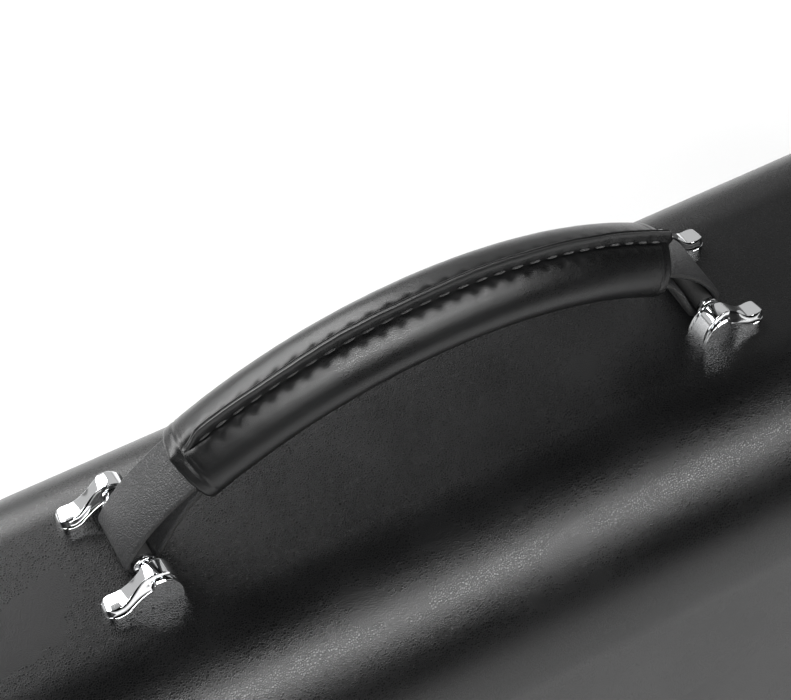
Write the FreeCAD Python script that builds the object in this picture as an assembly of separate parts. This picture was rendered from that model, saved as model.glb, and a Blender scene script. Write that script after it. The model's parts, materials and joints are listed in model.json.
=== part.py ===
import FreeCAD, Part
import math
import os

# Violin case, oblong, standing on its spine with the handle on top. Millimetres.
# X runs along the case, +Y points out of the arched lid, +Z points up to the handle.
# The origin is the centre of the case's footprint, on the surface it stands on.

# Case body
case_length = 800.0
case_height = 260.0
base_depth = 97.0
lid_rise = 31.0
front_edge_r = 40.0
shoulder_r = 22.0
shoulder_angle = 68.0
end_edge_r = 20.0
cover_t = 1.2
base_wall = 8.0
end_wall = 15.0
seam_wall = 9.0
flat_past_shoulder = 5.0
lid_wall = 7.0
lining_t = 1.6
rim_depth = 3.0
seam_gap = 0.4
fit_gap = 0.1

# Suspension bed inside the base
bed_drop = 27.0
bed_floor = 8.0
body_length = 366.0
lower_bout_r = 110.0
upper_bout_r = 90.0
waist_half = 62.0
body_end_pad = 13.0
neck_half = 32.0
neck_length = 240.0
neck_depth = 27.0
tray_length = 118.0
tray_height = 200.0
tray_wall = 8.0
box_height = 44.0
tray_depth = 50.0
cradle_length = 40.0
cradle_height = 14.0
tab_width = 25.0
tab_t = 1.8
tab_seat = 6.0
tab_overlap = 8.0

# Feet and hinges on the spine
foot_height = 10.0
foot_r = 8.0
foot_spread_x = 300.0
foot_spread_y = 23.0
hinge_spread = 250.0
hinge_length = 60.0
hinge_leaf = 12.0
leaf_t = 1.4
knuckle_r = 3.0
hinge_pin_r = 1.4
running_gap = 0.05
knuckle_gap = 0.4
hinge_stand_off = 3.2

# Latches on the handle side
latch_spread = 240.0
latch_width = 24.0
hasp_t = 1.6
hasp_reach = 26.0
hasp_axis_s = 15.0
hasp_axis_n = 4.3
hasp_knuckle_r = 2.4
hasp_pin_r = 1.0
catch_height = 3.3
catch_length = 15.0
button_travel = 1.5
button_width = 8.0
button_length = 2.6
move_gap = 0.3

# Carrying handle
handle_y = -2.7
pin_spread = 155.0
pin_height = 5.3
handle_pin_r = 2.0
lug_spread = 27.2
lug_width = 7.4
lug_hub_r = 5.6
lug_toe = 13.0
lug_toe_t = 3.4
strap_width = 15.7
strap_t = 1.8
loop_slack = 0.9
grip_arc_r = 104.5
grip_crown = 47.1
handle_lean = 5.6  # how far the handle leans to the front, in degrees
grip_half_length = 61.6
grip_width = 21.0
grip_thickness = 14.6
grip_skin = 1.4
welt_height = 3.0
welt_t = 2.4
screw_r = 1.8
screw_head_r = 3.4
screw_head_t = 1.6
backing_length = 200.0
backing_width = 34.0
backing_t = 2.0

# Shoulder strap rings on the end walls
ring_drop = 70.0
ring_wire_r = 1.6
ring_half = 13.0
ring_leg = 5.0
ring_plate_w = 30.0
ring_plate_h = 22.0
ring_plate_t = 1.6
ring_tube_r = 3.2

# Bow holders inside the lid
bow_spread = 62.0
frog_x = -300.0
tip_x = 318.0
holder_length = 30.0
holder_width = 18.0
holder_t = 6.0
spinner_length = 34.0
spinner_width = 9.0
spinner_t = 4.0
spinner_pin_r = 2.0

# Worked out from the sizes above
half_length = case_length / 2
bottom_z = foot_height
top_z = foot_height + case_height
mid_z = (bottom_z + top_z) / 2
case_depth = base_depth + lid_rise
front_y = -case_depth / 2
seam_y = front_y + base_depth
lid_y = seam_y + seam_gap
crown_y = case_depth / 2
shoulder_y = seam_y - shoulder_r * math.sin(math.radians(shoulder_angle))
seam_drop = shoulder_r * (1 - math.cos(math.radians(shoulder_angle)))
seam_half = case_height / 2 - seam_drop
vault_rise = crown_y - lid_y
vault_r = (seam_half ** 2 + vault_rise ** 2) / (2 * vault_rise)
bed_y = seam_y - bed_drop
inner_y = front_y + base_wall

V = FreeCAD.Vector
OUT_X = V(1, 0, 0)
OUT_Y = V(0, 1, 0)
UP = V(0, 0, 1)


def save(name, shape):
    """Write one sub-part as parts/NAME.step."""
    os.makedirs("parts", exist_ok=True)
    shape.exportStep(os.path.join("parts", name + ".step"))


def union(shapes):
    """Join touching solids into one."""
    return shapes[0].multiFuse(shapes[1:]).removeSplitter()


def group(shapes):
    """Several separate solids of one kind kept together."""
    return Part.makeCompound(shapes)


def box(x0, x1, y0, y1, z0, z1):
    """Block between two corners."""
    return Part.makeBox(x1 - x0, y1 - y0, z1 - z0, V(x0, y0, z0))


def rod(x, y, z, radius, length, axis):
    """Round bar starting at a point and running along an axis."""
    return Part.makeCylinder(radius, length, V(x, y, z), axis)


def on_arc(centre, radius, degrees):
    """Point of a circle in a plane; 0 degrees is the first direction."""
    angle = math.radians(degrees)
    return (centre[0] + radius * math.cos(angle), centre[1] + radius * math.sin(angle))


def arc_step(centre, radius, start, end):
    """Middle and end of an arc, for a path."""
    return (on_arc(centre, radius, (start + end) / 2), on_arc(centre, radius, end))


def path(place, start, steps):
    """Open chain of edges; a step of one point is straight, of two points an arc."""
    edges = []
    for step in steps:
        if len(step) == 2:
            edge = Part.Arc(place(start), place(step[0]), place(step[1])).toShape()
        else:
            edge = Part.LineSegment(place(start), place(step[0])).toShape()
        edges.append(edge)
        start = step[-1]
    return edges


def plate(place, start, steps, direction):
    """Closed outline swept straight into a solid."""
    edges = path(place, start, steps)
    return Part.Face(Part.Wire(edges)).extrude(direction)


def round_ends(solid, end_x, radius):
    """Round the rim of both end walls."""
    edges = []
    for edge in solid.Edges:
        b = edge.BoundBox
        if abs(abs(b.XMin) - end_x) < 0.01 and abs(b.XMax - b.XMin) < 0.01:
            edges.append(edge)
    return solid.makeFillet(radius, edges)


def base_form(inset):
    """Outer form of the base, taken in by an inset on every side but the mouth."""
    small = shoulder_r - inset
    large = front_edge_r - inset
    high = (shoulder_y, top_z - shoulder_r)
    low = (shoulder_y, bottom_z + shoulder_r)
    front_high = (front_y + front_edge_r, top_z - front_edge_r)
    front_low = (front_y + front_edge_r, bottom_z + front_edge_r)
    start = on_arc(high, small, 0)
    steps = [
        arc_step(high, small, 0, 90),
        (on_arc(front_high, large, 90),),
        arc_step(front_high, large, 90, 180),
        (on_arc(front_low, large, 180),),
        arc_step(front_low, large, 180, 270),
        (on_arc(low, small, 270),),
        arc_step(low, small, 270, 360),
        (start,),
    ]
    end_x = half_length - inset
    solid = plate(lambda p: V(-end_x, *p), start, steps, V(2 * end_x, 0, 0))
    return round_ends(solid, end_x, end_edge_r - inset).common(slab(front_y - 9, seam_y))


def base_hollow(extra):
    """Inside of the base shell, taken in by a little extra for what lines it."""
    inset = base_wall + extra
    large = front_edge_r - inset
    mouth = seam_half - seam_wall - extra
    flat_y = shoulder_y + flat_past_shoulder
    slope = (top_z - inset - mid_z - mouth) / (seam_y - flat_y)
    past = mouth - slope * inset
    front_high = (front_y + front_edge_r, top_z - front_edge_r)
    front_low = (front_y + front_edge_r, bottom_z + front_edge_r)
    start = (seam_y + inset, mid_z + past)
    steps = [
        ((flat_y, top_z - inset),),
        (on_arc(front_high, large, 90),),
        arc_step(front_high, large, 90, 180),
        (on_arc(front_low, large, 180),),
        arc_step(front_low, large, 180, 270),
        ((flat_y, bottom_z + inset),),
        ((seam_y + inset, mid_z - past),),
        (start,),
    ]
    end_x = half_length - end_wall - extra
    solid = plate(lambda p: V(-end_x, *p), start, steps, V(2 * end_x, 0, 0))
    edges = []
    for edge in solid.Edges:
        b = edge.BoundBox
        if b.XLength < 0.01 and b.YMin < seam_y + inset - 0.01:
            edges.append(edge)
    rounded = solid.makeFillet(end_edge_r - inset, edges)
    return rounded.common(slab(front_y, seam_y))


def lid_form(inset):
    """Outer form of the arched lid, taken in by an inset."""
    radius = vault_r - inset
    centre = (crown_y - vault_r, mid_z)
    reach = math.degrees(math.acos((seam_y - lid_rise - centre[0]) / radius))
    start = on_arc(centre, radius, -reach)
    steps = [arc_step(centre, radius, -reach, 0), arc_step(centre, radius, 0, reach), (start,)]
    end_x = half_length - inset
    solid = plate(lambda p: V(-end_x, *p), start, steps, V(2 * end_x, 0, 0))
    edges = []
    for edge in solid.Edges:
        b = edge.BoundBox
        if b.XLength < 0.01 and b.YLength > 1:
            edges.append(edge)
    rounded = solid.makeFillet(end_edge_r - inset, edges)
    return rounded.common(slab(lid_y, crown_y + 9))


def slab(y0, y1):
    """Everything between two depths, wider than the case."""
    return box(-case_length, case_length, y0, y1, -case_height, 2 * case_height)


def tilt(shape, side):
    """Set a shape made in seam axes onto the shoulder: side 1 the handle side, -1 the spine."""
    lean = math.degrees(math.asin(seam_half / vault_r))
    shape = shape.copy()
    shape.rotate(V(0, 0, 0), OUT_X, lean - 90)
    if side < 0:
        shape = shape.mirror(V(0, 0, 0), UP)
    shape.translate(V(0, seam_y + seam_gap / 2, mid_z + side * seam_half))
    return shape


def lug_screw_places():
    """Where the four handle screws stand."""
    places = []
    for side in (-1, 1):
        for row in (-1, 1):
            x = side * (pin_spread / 2 + lug_toe / 2)
            places.append((x, handle_y + row * lug_spread / 2))
    return places


def screw_holes(z0, z1):
    """Holes for the handle screws between two heights."""
    return [rod(x, y, z0, screw_r + fit_gap, z1 - z0, UP) for x, y in lug_screw_places()]


def foot_places():
    """Centres of the four feet on the flat of the spine."""
    middle = (front_y + front_edge_r + shoulder_y) / 2
    places = []
    for x in (-foot_spread_x, foot_spread_x):
        for row in (-0.5, 0.5):
            places.append((x, middle + row * foot_spread_y))
    return places


def foot_holes(radius):
    """Holes for the foot screws through the spine wall."""
    return [rod(x, y, 0, radius, bottom_z + base_wall, UP) for x, y in foot_places()]


def base_shell():
    """Laminated shell of the base."""
    below_rim = slab(front_y - 1, seam_y - rim_depth)
    shell = base_form(cover_t).cut(base_hollow(0)).common(below_rim)
    return shell.cut(group(screw_holes(top_z - base_wall, top_z) + foot_holes(screw_r + fit_gap)))


def base_cover():
    """Leather cloth over the base shell."""
    below_rim = slab(front_y - 1, seam_y - rim_depth)
    cover = base_form(0).cut(base_form(cover_t)).common(below_rim)
    return cover.cut(group(screw_holes(top_z - base_wall, top_z + 1) + foot_holes(screw_r + fit_gap)))


def base_binding():
    """Trim round the mouth of the base."""
    return base_form(0).cut(base_hollow(0)).common(slab(seam_y - rim_depth, seam_y))


def base_lining():
    """Plush on the base's walls above the bed."""
    lining = base_hollow(fit_gap).cut(base_hollow(fit_gap + lining_t))
    return lining.common(slab(bed_y + fit_gap, seam_y - 1)).cut(backing_space(fit_gap))


def lid_shell():
    """Laminated shell of the lid."""
    shell = lid_form(cover_t).cut(lid_form(lid_wall))
    return shell.common(slab(lid_y + rim_depth, crown_y))


def lid_cover():
    """Leather cloth over the lid shell."""
    cover = lid_form(0).cut(lid_form(cover_t))
    return cover.common(slab(lid_y + rim_depth, crown_y + 1))


def lid_binding():
    """Trim round the mouth of the lid."""
    return lid_form(0).cut(lid_form(lid_wall)).common(slab(lid_y, lid_y + rim_depth))


def lid_lining():
    """Plush inside the lid."""
    lining = lid_form(lid_wall + fit_gap).cut(lid_form(lid_wall + fit_gap + lining_t))
    return lining.common(slab(lid_y + 1, crown_y))


def body_start():
    """Tail end of the violin's place."""
    return -half_length + end_wall + body_end_pad


def body_end():
    """Where the violin's body meets its neck."""
    return body_start() + body_length


def neck_end():
    """Scroll end of the violin's place."""
    return body_end() + neck_length


def tray_start():
    """Near wall of the accessory trays."""
    return half_length - end_wall - tray_wall - tray_length


def violin_well():
    """The space that the violin's body, neck and scroll lie in."""
    floor_y = inner_y + bed_floor
    depth = seam_y - floor_y
    lower_x = body_start() + lower_bout_r
    upper_x = body_end() - upper_bout_r
    lower = rod(lower_x, floor_y, mid_z, lower_bout_r, depth, OUT_Y)
    upper = rod(upper_x, floor_y, mid_z, upper_bout_r, depth, OUT_Y)
    waist = box(lower_x, upper_x, floor_y, seam_y, mid_z - waist_half, mid_z + waist_half)
    neck_y = bed_y - neck_depth
    neck = box(upper_x, neck_end() - neck_half, neck_y, seam_y, mid_z - neck_half, mid_z + neck_half)
    scroll = rod(neck_end() - neck_half, neck_y, mid_z, neck_half, seam_y - neck_y, OUT_Y)
    return union([lower, upper, waist, neck, scroll])


def tray_cuts():
    """The rosin box in the middle of the end block and an open tray on each side of it."""
    x0 = tray_start()
    x1 = x0 + tray_length
    floor_y = bed_y - tray_depth
    half_box = box_height / 2
    outer = tray_height / 2
    inner = half_box + tray_wall
    cuts = [box(x0, x1, floor_y, seam_y, mid_z - half_box, mid_z + half_box)]
    for side in (-1, 1):
        low = min(side * inner, side * outer)
        high = max(side * inner, side * outer)
        cuts.append(box(x0, x1, floor_y, seam_y, mid_z + low, mid_z + high))
    return group(cuts)


def backing_space(grow):
    """Block of the handle's backing plate and its screw heads."""
    half = backing_length / 2 + grow
    side = backing_width / 2 + grow
    floor = top_z - base_wall - backing_t - screw_head_t - grow
    return box(-half, half, handle_y - side, handle_y + side, floor, top_z - base_wall)


def suspension_bed():
    """Foam bed with the violin's place and the trays cut out of it."""
    bed = base_hollow(fit_gap).common(slab(front_y, bed_y))
    bed = bed.cut(violin_well()).cut(tray_cuts()).cut(backing_space(fit_gap))
    bed = bed.cut(accessory_hinge_pin())
    screws = [rod(x, y, bottom_z, screw_head_r + 1, base_wall + screw_head_t + 1, UP)
              for x, y in foot_places()]
    return bed.cut(group(screws))


def neck_cradle():
    """Padded block that carries the violin's neck."""
    x0 = body_end() + neck_length / 3
    floor_y = bed_y - neck_depth
    side = neck_half - fit_gap
    block = box(x0, x0 + cradle_length, floor_y, floor_y + cradle_height, mid_z - side, mid_z + side)
    groove = rod(x0, floor_y + cradle_height + neck_half / 3, mid_z, neck_half * 0.7, cradle_length, OUT_X)
    return block.cut(groove)


def neck_tab_x():
    """Near edge of the neck tab."""
    return body_end() + neck_length / 3 + (cradle_length - tab_width) / 2


def neck_tab_y():
    """Depth of the neck tab's inner face, one ply clear of the strip below it."""
    return bed_y + tab_t + move_gap


def neck_tab():
    """Upper half of the neck fastening, which hangs from the bed's edge."""
    x0 = neck_tab_x()
    low = mid_z - tab_overlap / 2
    tab = box(x0, x0 + tab_width, neck_tab_y(), neck_tab_y() + tab_t, low, mid_z + neck_half + tab_seat)
    corners = [e for e in tab.Edges if e.BoundBox.YLength > 1 and abs(e.BoundBox.ZMax - low) < 0.01]
    return tab.makeFillet(tab_width / 5, corners)


def neck_tab_catch():
    """Lower half of the neck fastening, sewn to the bed below the neck."""
    x0 = neck_tab_x()
    low = mid_z - neck_half - tab_seat
    return box(x0, x0 + tab_width, bed_y, bed_y + tab_t, low, mid_z + tab_overlap / 2)


def neck_tab_anchor():
    """Folded end that sews the neck tab to the bed above the neck."""
    x0 = neck_tab_x()
    low = mid_z + neck_half + tab_seat + move_gap
    return box(x0, x0 + tab_width, bed_y, bed_y + tab_t, low, low + tab_seat)


def accessory_lid_panel():
    """Padded lid of the rosin box."""
    x0 = tray_start() + move_gap
    x1 = tray_start() + tray_length - move_gap
    half = box_height / 2 - move_gap
    panel = box(x0, x1, bed_y - 3, bed_y, mid_z - half, mid_z + half - 2)
    knuckles = rod(x0, bed_y - 1.5, mid_z + half - 2, 1.5, x1 - x0, OUT_X)
    lid = union([panel, knuckles])
    return lid.cut(rod(x0, bed_y - 1.5, mid_z + half - 2, 0.8 + running_gap, x1 - x0, OUT_X))


def accessory_hinge_pin():
    """Wire that the rosin box's lid turns on, held in the bed at both ends."""
    x0 = tray_start() - 4
    length = tray_length + 8
    return rod(x0, bed_y - 1.5, mid_z + box_height / 2 - move_gap - 2, 0.8, length, OUT_X)


def spine_foot(x, y):
    """Rubber foot with a countersunk hole."""
    foot = Part.makeCone(foot_r - 1, foot_r, foot_height, V(x, y, 0), UP)
    hole = rod(x, y, 0, screw_r + fit_gap, foot_height, UP)
    return foot.cut(hole).cut(rod(x, y, 0, screw_head_r + fit_gap, screw_head_t + 1, UP))


def foot_screw(x, y):
    """Screw through a foot into the spine."""
    head = rod(x, y, 1, screw_head_r, screw_head_t, UP)
    shank = rod(x, y, 1, screw_r, foot_height + base_wall - 1, UP)
    return union([head, shank])


def hinge_axis():
    """Height and depth of the lid hinge's axis."""
    middle = tilt(Part.Vertex(V(0, 0, hinge_stand_off)), -1).Point
    return middle.y, middle.z


def knuckle(x0, x1, radius, bore):
    """Hinge knuckle on the lid hinge's axis."""
    y, z = hinge_axis()
    body = rod(x0, y, z, radius, x1 - x0, OUT_X)
    return body.cut(rod(x0, y, z, bore, x1 - x0, OUT_X))


def hinge_leaf_on(form, low, high, x0, x1):
    """Leaf bent to the spine's surface between two distances from the seam."""
    band = tilt(box(x0, x1, low, high, -12, 8), -1)
    return form(-leaf_t).cut(form(0)).common(band)


def hinge_web(x0, x1, side):
    """Short web that ties a leaf to its knuckle, on one side of the seam."""
    y0 = min(side * knuckle_gap, side * (knuckle_r + 1.5))
    y1 = max(side * knuckle_gap, side * (knuckle_r + 1.5))
    web = tilt(box(x0, x1, y0, y1, -1.5, hinge_stand_off), -1)
    y, z = hinge_axis()
    web = web.cut(base_form(0)).cut(lid_form(0))
    return web.cut(rod(x0, y, z, hinge_pin_r + running_gap, x1 - x0, OUT_X))


def hinge_half(x, side):
    """One half of a hinge: side -1 is the base's, 1 the lid's."""
    half = hinge_length / 2
    third = hinge_length / 6
    form = base_form if side < 0 else lid_form
    low = min(side * knuckle_gap, side * hinge_leaf)
    high = max(side * knuckle_gap, side * hinge_leaf)
    spans = [(x - third, x + third)]
    if side < 0:
        spans = [(x - half, x - third - knuckle_gap), (x + third + knuckle_gap, x + half)]
    shapes = []
    for x0, x1 in spans:
        shapes.append(hinge_leaf_on(form, low, high, x0, x1))
        shapes.append(hinge_web(x0, x1, side))
        shapes.append(knuckle(x0, x1, knuckle_r, hinge_pin_r + running_gap))
    if side < 0:
        shapes.append(hinge_leaf_on(form, -hinge_leaf, -knuckle_r - 2, x - half, x + half))
    return union(shapes)


def hinge_pin(x):
    """Pin through one hinge."""
    y, z = hinge_axis()
    return rod(x - hinge_length / 2, y, z, hinge_pin_r, hinge_length, OUT_X)


def latch_plate(x):
    """Plate on the lid that carries the hasp's pin between two knuckles."""
    half = latch_width / 2
    band = tilt(box(x - half, x + half, 4, hasp_axis_s + 12, -6, 6), 1)
    skin = lid_form(-leaf_t).cut(lid_form(0)).common(band)
    shapes = [skin]
    for side in (-1, 1):
        x0 = min(x + side * half, x + side * half / 2)
        body = Part.makeCylinder(hasp_knuckle_r, half / 2, V(x0, hasp_axis_s, hasp_axis_n), OUT_X)
        web = box(x0, x0 + half / 2, hasp_axis_s, hasp_axis_s + hasp_knuckle_r, -1, hasp_axis_n)
        shapes.append(tilt(body, 1))
        shapes.append(tilt(web, 1).cut(lid_form(0)))
    start = V(x - half, hasp_axis_s, hasp_axis_n)
    bore = Part.makeCylinder(hasp_pin_r + running_gap, latch_width, start, OUT_X)
    return union(shapes).cut(tilt(bore, 1))


def hasp(x):
    """Swinging plate of the latch, lying over the catch."""
    half = latch_width / 2
    inner = half / 2 - move_gap
    low_n = catch_height + 2 * move_gap
    tip = hasp_axis_s - hasp_reach
    neck_s = hasp_axis_s - hasp_knuckle_r - 2 * move_gap
    blade = box(x - half + 1, x + half - 1, tip, neck_s, low_n, low_n + hasp_t)
    corners = [e for e in blade.Edges if abs(e.BoundBox.YMax - tip) < 0.01 and e.BoundBox.ZLength > 1]
    blade = blade.makeFillet(4.0, corners)
    link = box(x - inner, x + inner, neck_s - 1, hasp_axis_s, low_n, low_n + hasp_t)
    start = V(x - inner, hasp_axis_s, hasp_axis_n)
    body = Part.makeCylinder(hasp_knuckle_r, 2 * inner, start, OUT_X)
    bore = Part.makeCylinder(hasp_pin_r + running_gap, 2 * inner, start, OUT_X)
    return tilt(union([blade, link, body]).cut(bore), 1)


def hasp_pin(x):
    """Pin that the hasp turns on."""
    pin = Part.makeCylinder(hasp_pin_r, latch_width, V(x - latch_width / 2, hasp_axis_s, hasp_axis_n), OUT_X)
    return tilt(pin, 1)


def button_block(x, grow, low):
    """Block of the latch button in seam axes, from a low height to its face."""
    y1 = hasp_axis_s - hasp_reach - 2 * move_gap
    half = button_width / 2 + grow
    return box(x - half, x + half, y1 - button_length - grow, y1 + grow, low, catch_height + 2)


def latch_catch(x):
    """Housing on the base that the hasp closes onto."""
    half = latch_width / 2 + 2
    block = box(x - half, x + half, -catch_length - 2, -1, -14, catch_height)
    rim = [e for e in block.Edges if abs(e.BoundBox.ZMin - catch_height) < 0.01]
    block = block.makeFillet(1.2, rim)
    pocket = button_block(x, move_gap, -button_travel - move_gap)
    return tilt(block.cut(pocket), 1).cut(base_form(0))


def latch_button(x):
    """Sprung release button in the catch."""
    block = button_block(x, 0, 0)
    rim = [e for e in block.Edges if abs(e.BoundBox.ZMin - catch_height - 2) < 0.01]
    return tilt(block.makeFillet(0.6, rim), 1)


def handle_lug(side, row):
    """Chrome lug: a hub round the pin that runs out into a flat toe."""
    x = side * pin_spread / 2
    y0 = handle_y + row * lug_spread / 2 - lug_width / 2
    hub = (0.0, pin_height)
    foot = (-lug_hub_r, 0.0)
    toe = (lug_toe, lug_toe_t)
    steps = [
        ((-lug_hub_r, pin_height),),
        arc_step(hub, lug_hub_r, 180, 40),
        ((lug_hub_r + 1.4, pin_height), (lug_hub_r + 4.2, lug_toe_t + 0.3)),
        (toe,),
        ((lug_toe, 0.0),),
        (foot,),
    ]
    solid = plate(lambda p: V(x + side * p[0], y0, top_z + p[1]), foot, steps, V(0, lug_width, 0))
    ends = [e for e in solid.Edges if abs(abs(e.BoundBox.XMax) - pin_spread / 2 - lug_toe) < 0.01
            and e.BoundBox.ZLength > 1 and e.BoundBox.XLength < 0.01]
    solid = solid.makeFillet(lug_width / 2.3, ends)
    bore = rod(x, y0, top_z + pin_height, handle_pin_r + fit_gap / 2, lug_width, OUT_Y)
    blind = rod(x + side * lug_toe / 2, y0 + lug_width / 2, top_z, screw_r + fit_gap, lug_toe_t - 1.0, UP)
    return solid.cut(bore).cut(blind)


def handle_pin(side):
    """Pin between the two lugs at one end of the handle."""
    length = lug_spread + lug_width - 2
    return rod(side * pin_spread / 2, handle_y - length / 2, top_z + pin_height, handle_pin_r, length, OUT_Y)


def handle_screw(x, y):
    """Screw from inside the case up into a lug."""
    floor = top_z - base_wall - backing_t
    head = rod(x, y, floor - screw_head_t, screw_head_r, screw_head_t, UP)
    length = base_wall + backing_t + lug_toe_t - 1.2
    return union([head, rod(x, y, floor, screw_r, length, UP)])


def backing_plate():
    """Steel plate inside the case, under the handle."""
    half = backing_length / 2
    side = backing_width / 2
    floor = top_z - base_wall - backing_t
    body = box(-half, half, handle_y - side, handle_y + side, floor, top_z - base_wall)
    return body.cut(group(screw_holes(floor - 1, top_z)))


def grip_half_angle():
    """Half the angle that the grip covers."""
    return math.degrees(math.asin(grip_half_length / grip_arc_r))


def grip_centre():
    """Centre of the grip's arc."""
    return (0.0, grip_crown - grip_arc_r)


def swept_grip(half_y, half_r, trim):
    """Oval bar along the grip's arc, shortened by an angle at each end."""
    span = grip_half_angle() - trim
    centre = grip_centre()
    section = Part.Ellipse(V(0, 0, 0), half_y, half_r).toShape()
    section.rotate(V(0, 0, 0), OUT_X, 90)
    section.rotate(V(0, 0, 0), UP, 90)
    section.translate(V(0, handle_y, top_z + grip_crown))
    middle = V(centre[0], handle_y, top_z + centre[1])
    section.rotate(middle, OUT_Y, -span)
    return Part.Face(Part.Wire([section])).revolve(middle, OUT_Y, 2 * span)


def leant(shape):
    """Part of the handle turned about its pins to the handle's lean."""
    turned = shape.copy()
    turned.rotate(V(0, handle_y, top_z + pin_height), OUT_X, handle_lean)
    return turned


def strap_channel(grow):
    """The flat band that runs through the grip, as a swept strip."""
    span = grip_half_angle() + 0.5
    half_y = strap_width / 2 + grow
    half_r = strap_t + grow
    centre = grip_centre()
    middle = V(centre[0], handle_y, top_z + centre[1])
    z = top_z + grip_crown
    corners = [V(0, handle_y - half_y, z - half_r), V(0, handle_y + half_y, z - half_r),
               V(0, handle_y + half_y, z + half_r), V(0, handle_y - half_y, z + half_r)]
    section = Part.makePolygon(corners + corners[:1])
    section.rotate(middle, OUT_Y, -span)
    return Part.Face(section).revolve(middle, OUT_Y, 2 * span)


def strap_loop(side):
    """Leather loop round the pin, with both plies running up into the grip."""
    angle = math.radians(grip_half_angle())
    end = (grip_arc_r * math.sin(angle), grip_crown - grip_arc_r * (1 - math.cos(angle)))
    pin = (pin_spread / 2, pin_height - loop_slack / 2)
    inner_r = handle_pin_r + loop_slack
    outer_r = inner_r + strap_t
    down = math.degrees(math.atan2(end[1] - pin[1], pin[0] - end[0]))
    top_turn = 90 - down
    low_turn = 270 - down
    tip = (end[0] - 1.0, end[1] + 0.7)
    along = (math.sin(math.radians(down)), math.cos(math.radians(down)))
    half = strap_t + 0.35

    def ring(radius, thick):
        first = on_arc(pin, radius, top_turn)
        a = (tip[0] + along[0] * thick, tip[1] + along[1] * thick)
        b = (tip[0] - along[0] * thick, tip[1] - along[1] * thick)
        steps = [arc_step(pin, radius, top_turn, low_turn - 360), (b,), (a,), (first,)]
        return first, steps

    slant = math.tan(math.radians(handle_lean))
    front = handle_y - strap_width / 2
    place = lambda p: V(side * p[0], front - slant * (p[1] - pin_height), top_z + p[1])
    sweep = V(0, strap_width, 0)
    outer = plate(place, *ring(outer_r, half), sweep)
    inner = plate(place, *ring(inner_r, 0.35), sweep)
    return outer.cut(inner)


def handle_strap():
    """Leather strap: one loop at each end and a band through the grip."""
    return union([leant(strap_channel(0)), strap_loop(-1), strap_loop(1)])


def grip_core():
    """Firm core inside the grip's cover."""
    core = swept_grip(grip_width / 2 - grip_skin, grip_thickness / 2 - grip_skin, 1.0)
    return leant(core.cut(strap_channel(fit_gap))).cut(strap_loop(1)).cut(strap_loop(-1))


def grip_cover():
    """Leather sleeve round the core."""
    outer = swept_grip(grip_width / 2, grip_thickness / 2, 0)
    inner = swept_grip(grip_width / 2 - grip_skin + 0.02, grip_thickness / 2 - grip_skin + 0.02, 1.0)
    sleeve = leant(outer.cut(inner).cut(strap_channel(fit_gap)))
    return sleeve.cut(strap_loop(1)).cut(strap_loop(-1))


def grip_welt():
    """Stitched seam that stands up along the top of the grip."""
    span = grip_half_angle() - 3.5
    centre = grip_centre()
    middle = V(centre[0], handle_y, top_z + centre[1])
    low = top_z + grip_crown + grip_thickness / 2 - 0.6
    high = top_z + grip_crown + grip_thickness / 2 + welt_height
    half = welt_t / 2
    corners = [V(0, handle_y - half, low), V(0, handle_y + half, low),
               V(0, handle_y + half, high), V(0, handle_y - half, high)]
    section = Part.makePolygon(corners + corners[:1])
    section.rotate(middle, OUT_Y, -span)
    seam = Part.Face(section).revolve(middle, OUT_Y, 2 * span)
    return leant(seam.cut(swept_grip(grip_width / 2, grip_thickness / 2, 0)))


def ring_axis(side):
    """Axis of a shoulder-strap ring's bar."""
    x = side * (half_length + ring_plate_t + ring_tube_r - 0.6)
    return x, handle_y, top_z - ring_drop


def ring_plate(side):
    """Plate on the end wall with the tube that holds the ring's bar."""
    x, y, z = ring_axis(side)
    wall_x = side * half_length
    x0 = min(wall_x, wall_x + side * ring_plate_t)
    leaf = box(x0, x0 + ring_plate_t, y - ring_plate_w / 2, y + ring_plate_w / 2,
               z - ring_plate_h / 4, z + ring_plate_h * 3 / 4)
    tube = rod(x, y - ring_half / 2, z, ring_tube_r, ring_half, OUT_Y)
    tube = tube.cut(box(-2 * half_length, wall_x, y - 99, y + 99, 0, 2 * top_z) if side > 0
                    else box(wall_x, 2 * half_length, y - 99, y + 99, 0, 2 * top_z))
    bore = rod(x, y - ring_half, z, ring_wire_r + running_gap, 2 * ring_half, OUT_Y)
    return union([leaf, tube]).cut(bore)


def strap_ring(side):
    """D-ring hanging from its plate."""
    x, y, z = ring_axis(side)
    place = lambda p: V(x, y + p[0], z + p[1])
    low = (0.0, -ring_leg)
    bar = rod(x, y - ring_half, z, ring_wire_r, 2 * ring_half, OUT_Y)
    parts = [bar]
    for row in (-1, 1):
        parts.append(Part.makeCylinder(ring_wire_r, ring_leg, V(x, y + row * ring_half, z - ring_leg), UP))
        parts.append(Part.makeSphere(ring_wire_r, V(x, y + row * ring_half, z)))
    edges = path(place, (-ring_half, -ring_leg), [(on_arc(low, ring_half, 270), (ring_half, -ring_leg))])
    circle = Part.makeCircle(ring_wire_r, V(x, y - ring_half, z - ring_leg), UP)
    bow = Part.Wire(edges).makePipeShell([Part.Wire([circle])], True, True)
    parts.append(bow)
    return union(parts)


def lid_inside_y(z):
    """Depth of the lining's face inside the lid at a height."""
    radius = vault_r - lid_wall - fit_gap - lining_t
    return crown_y - vault_r + math.sqrt(radius ** 2 - (z - mid_z) ** 2)


def bow_places():
    """Heights of the two bows."""
    return (mid_z - bow_spread / 2, mid_z + bow_spread / 2)


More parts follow.
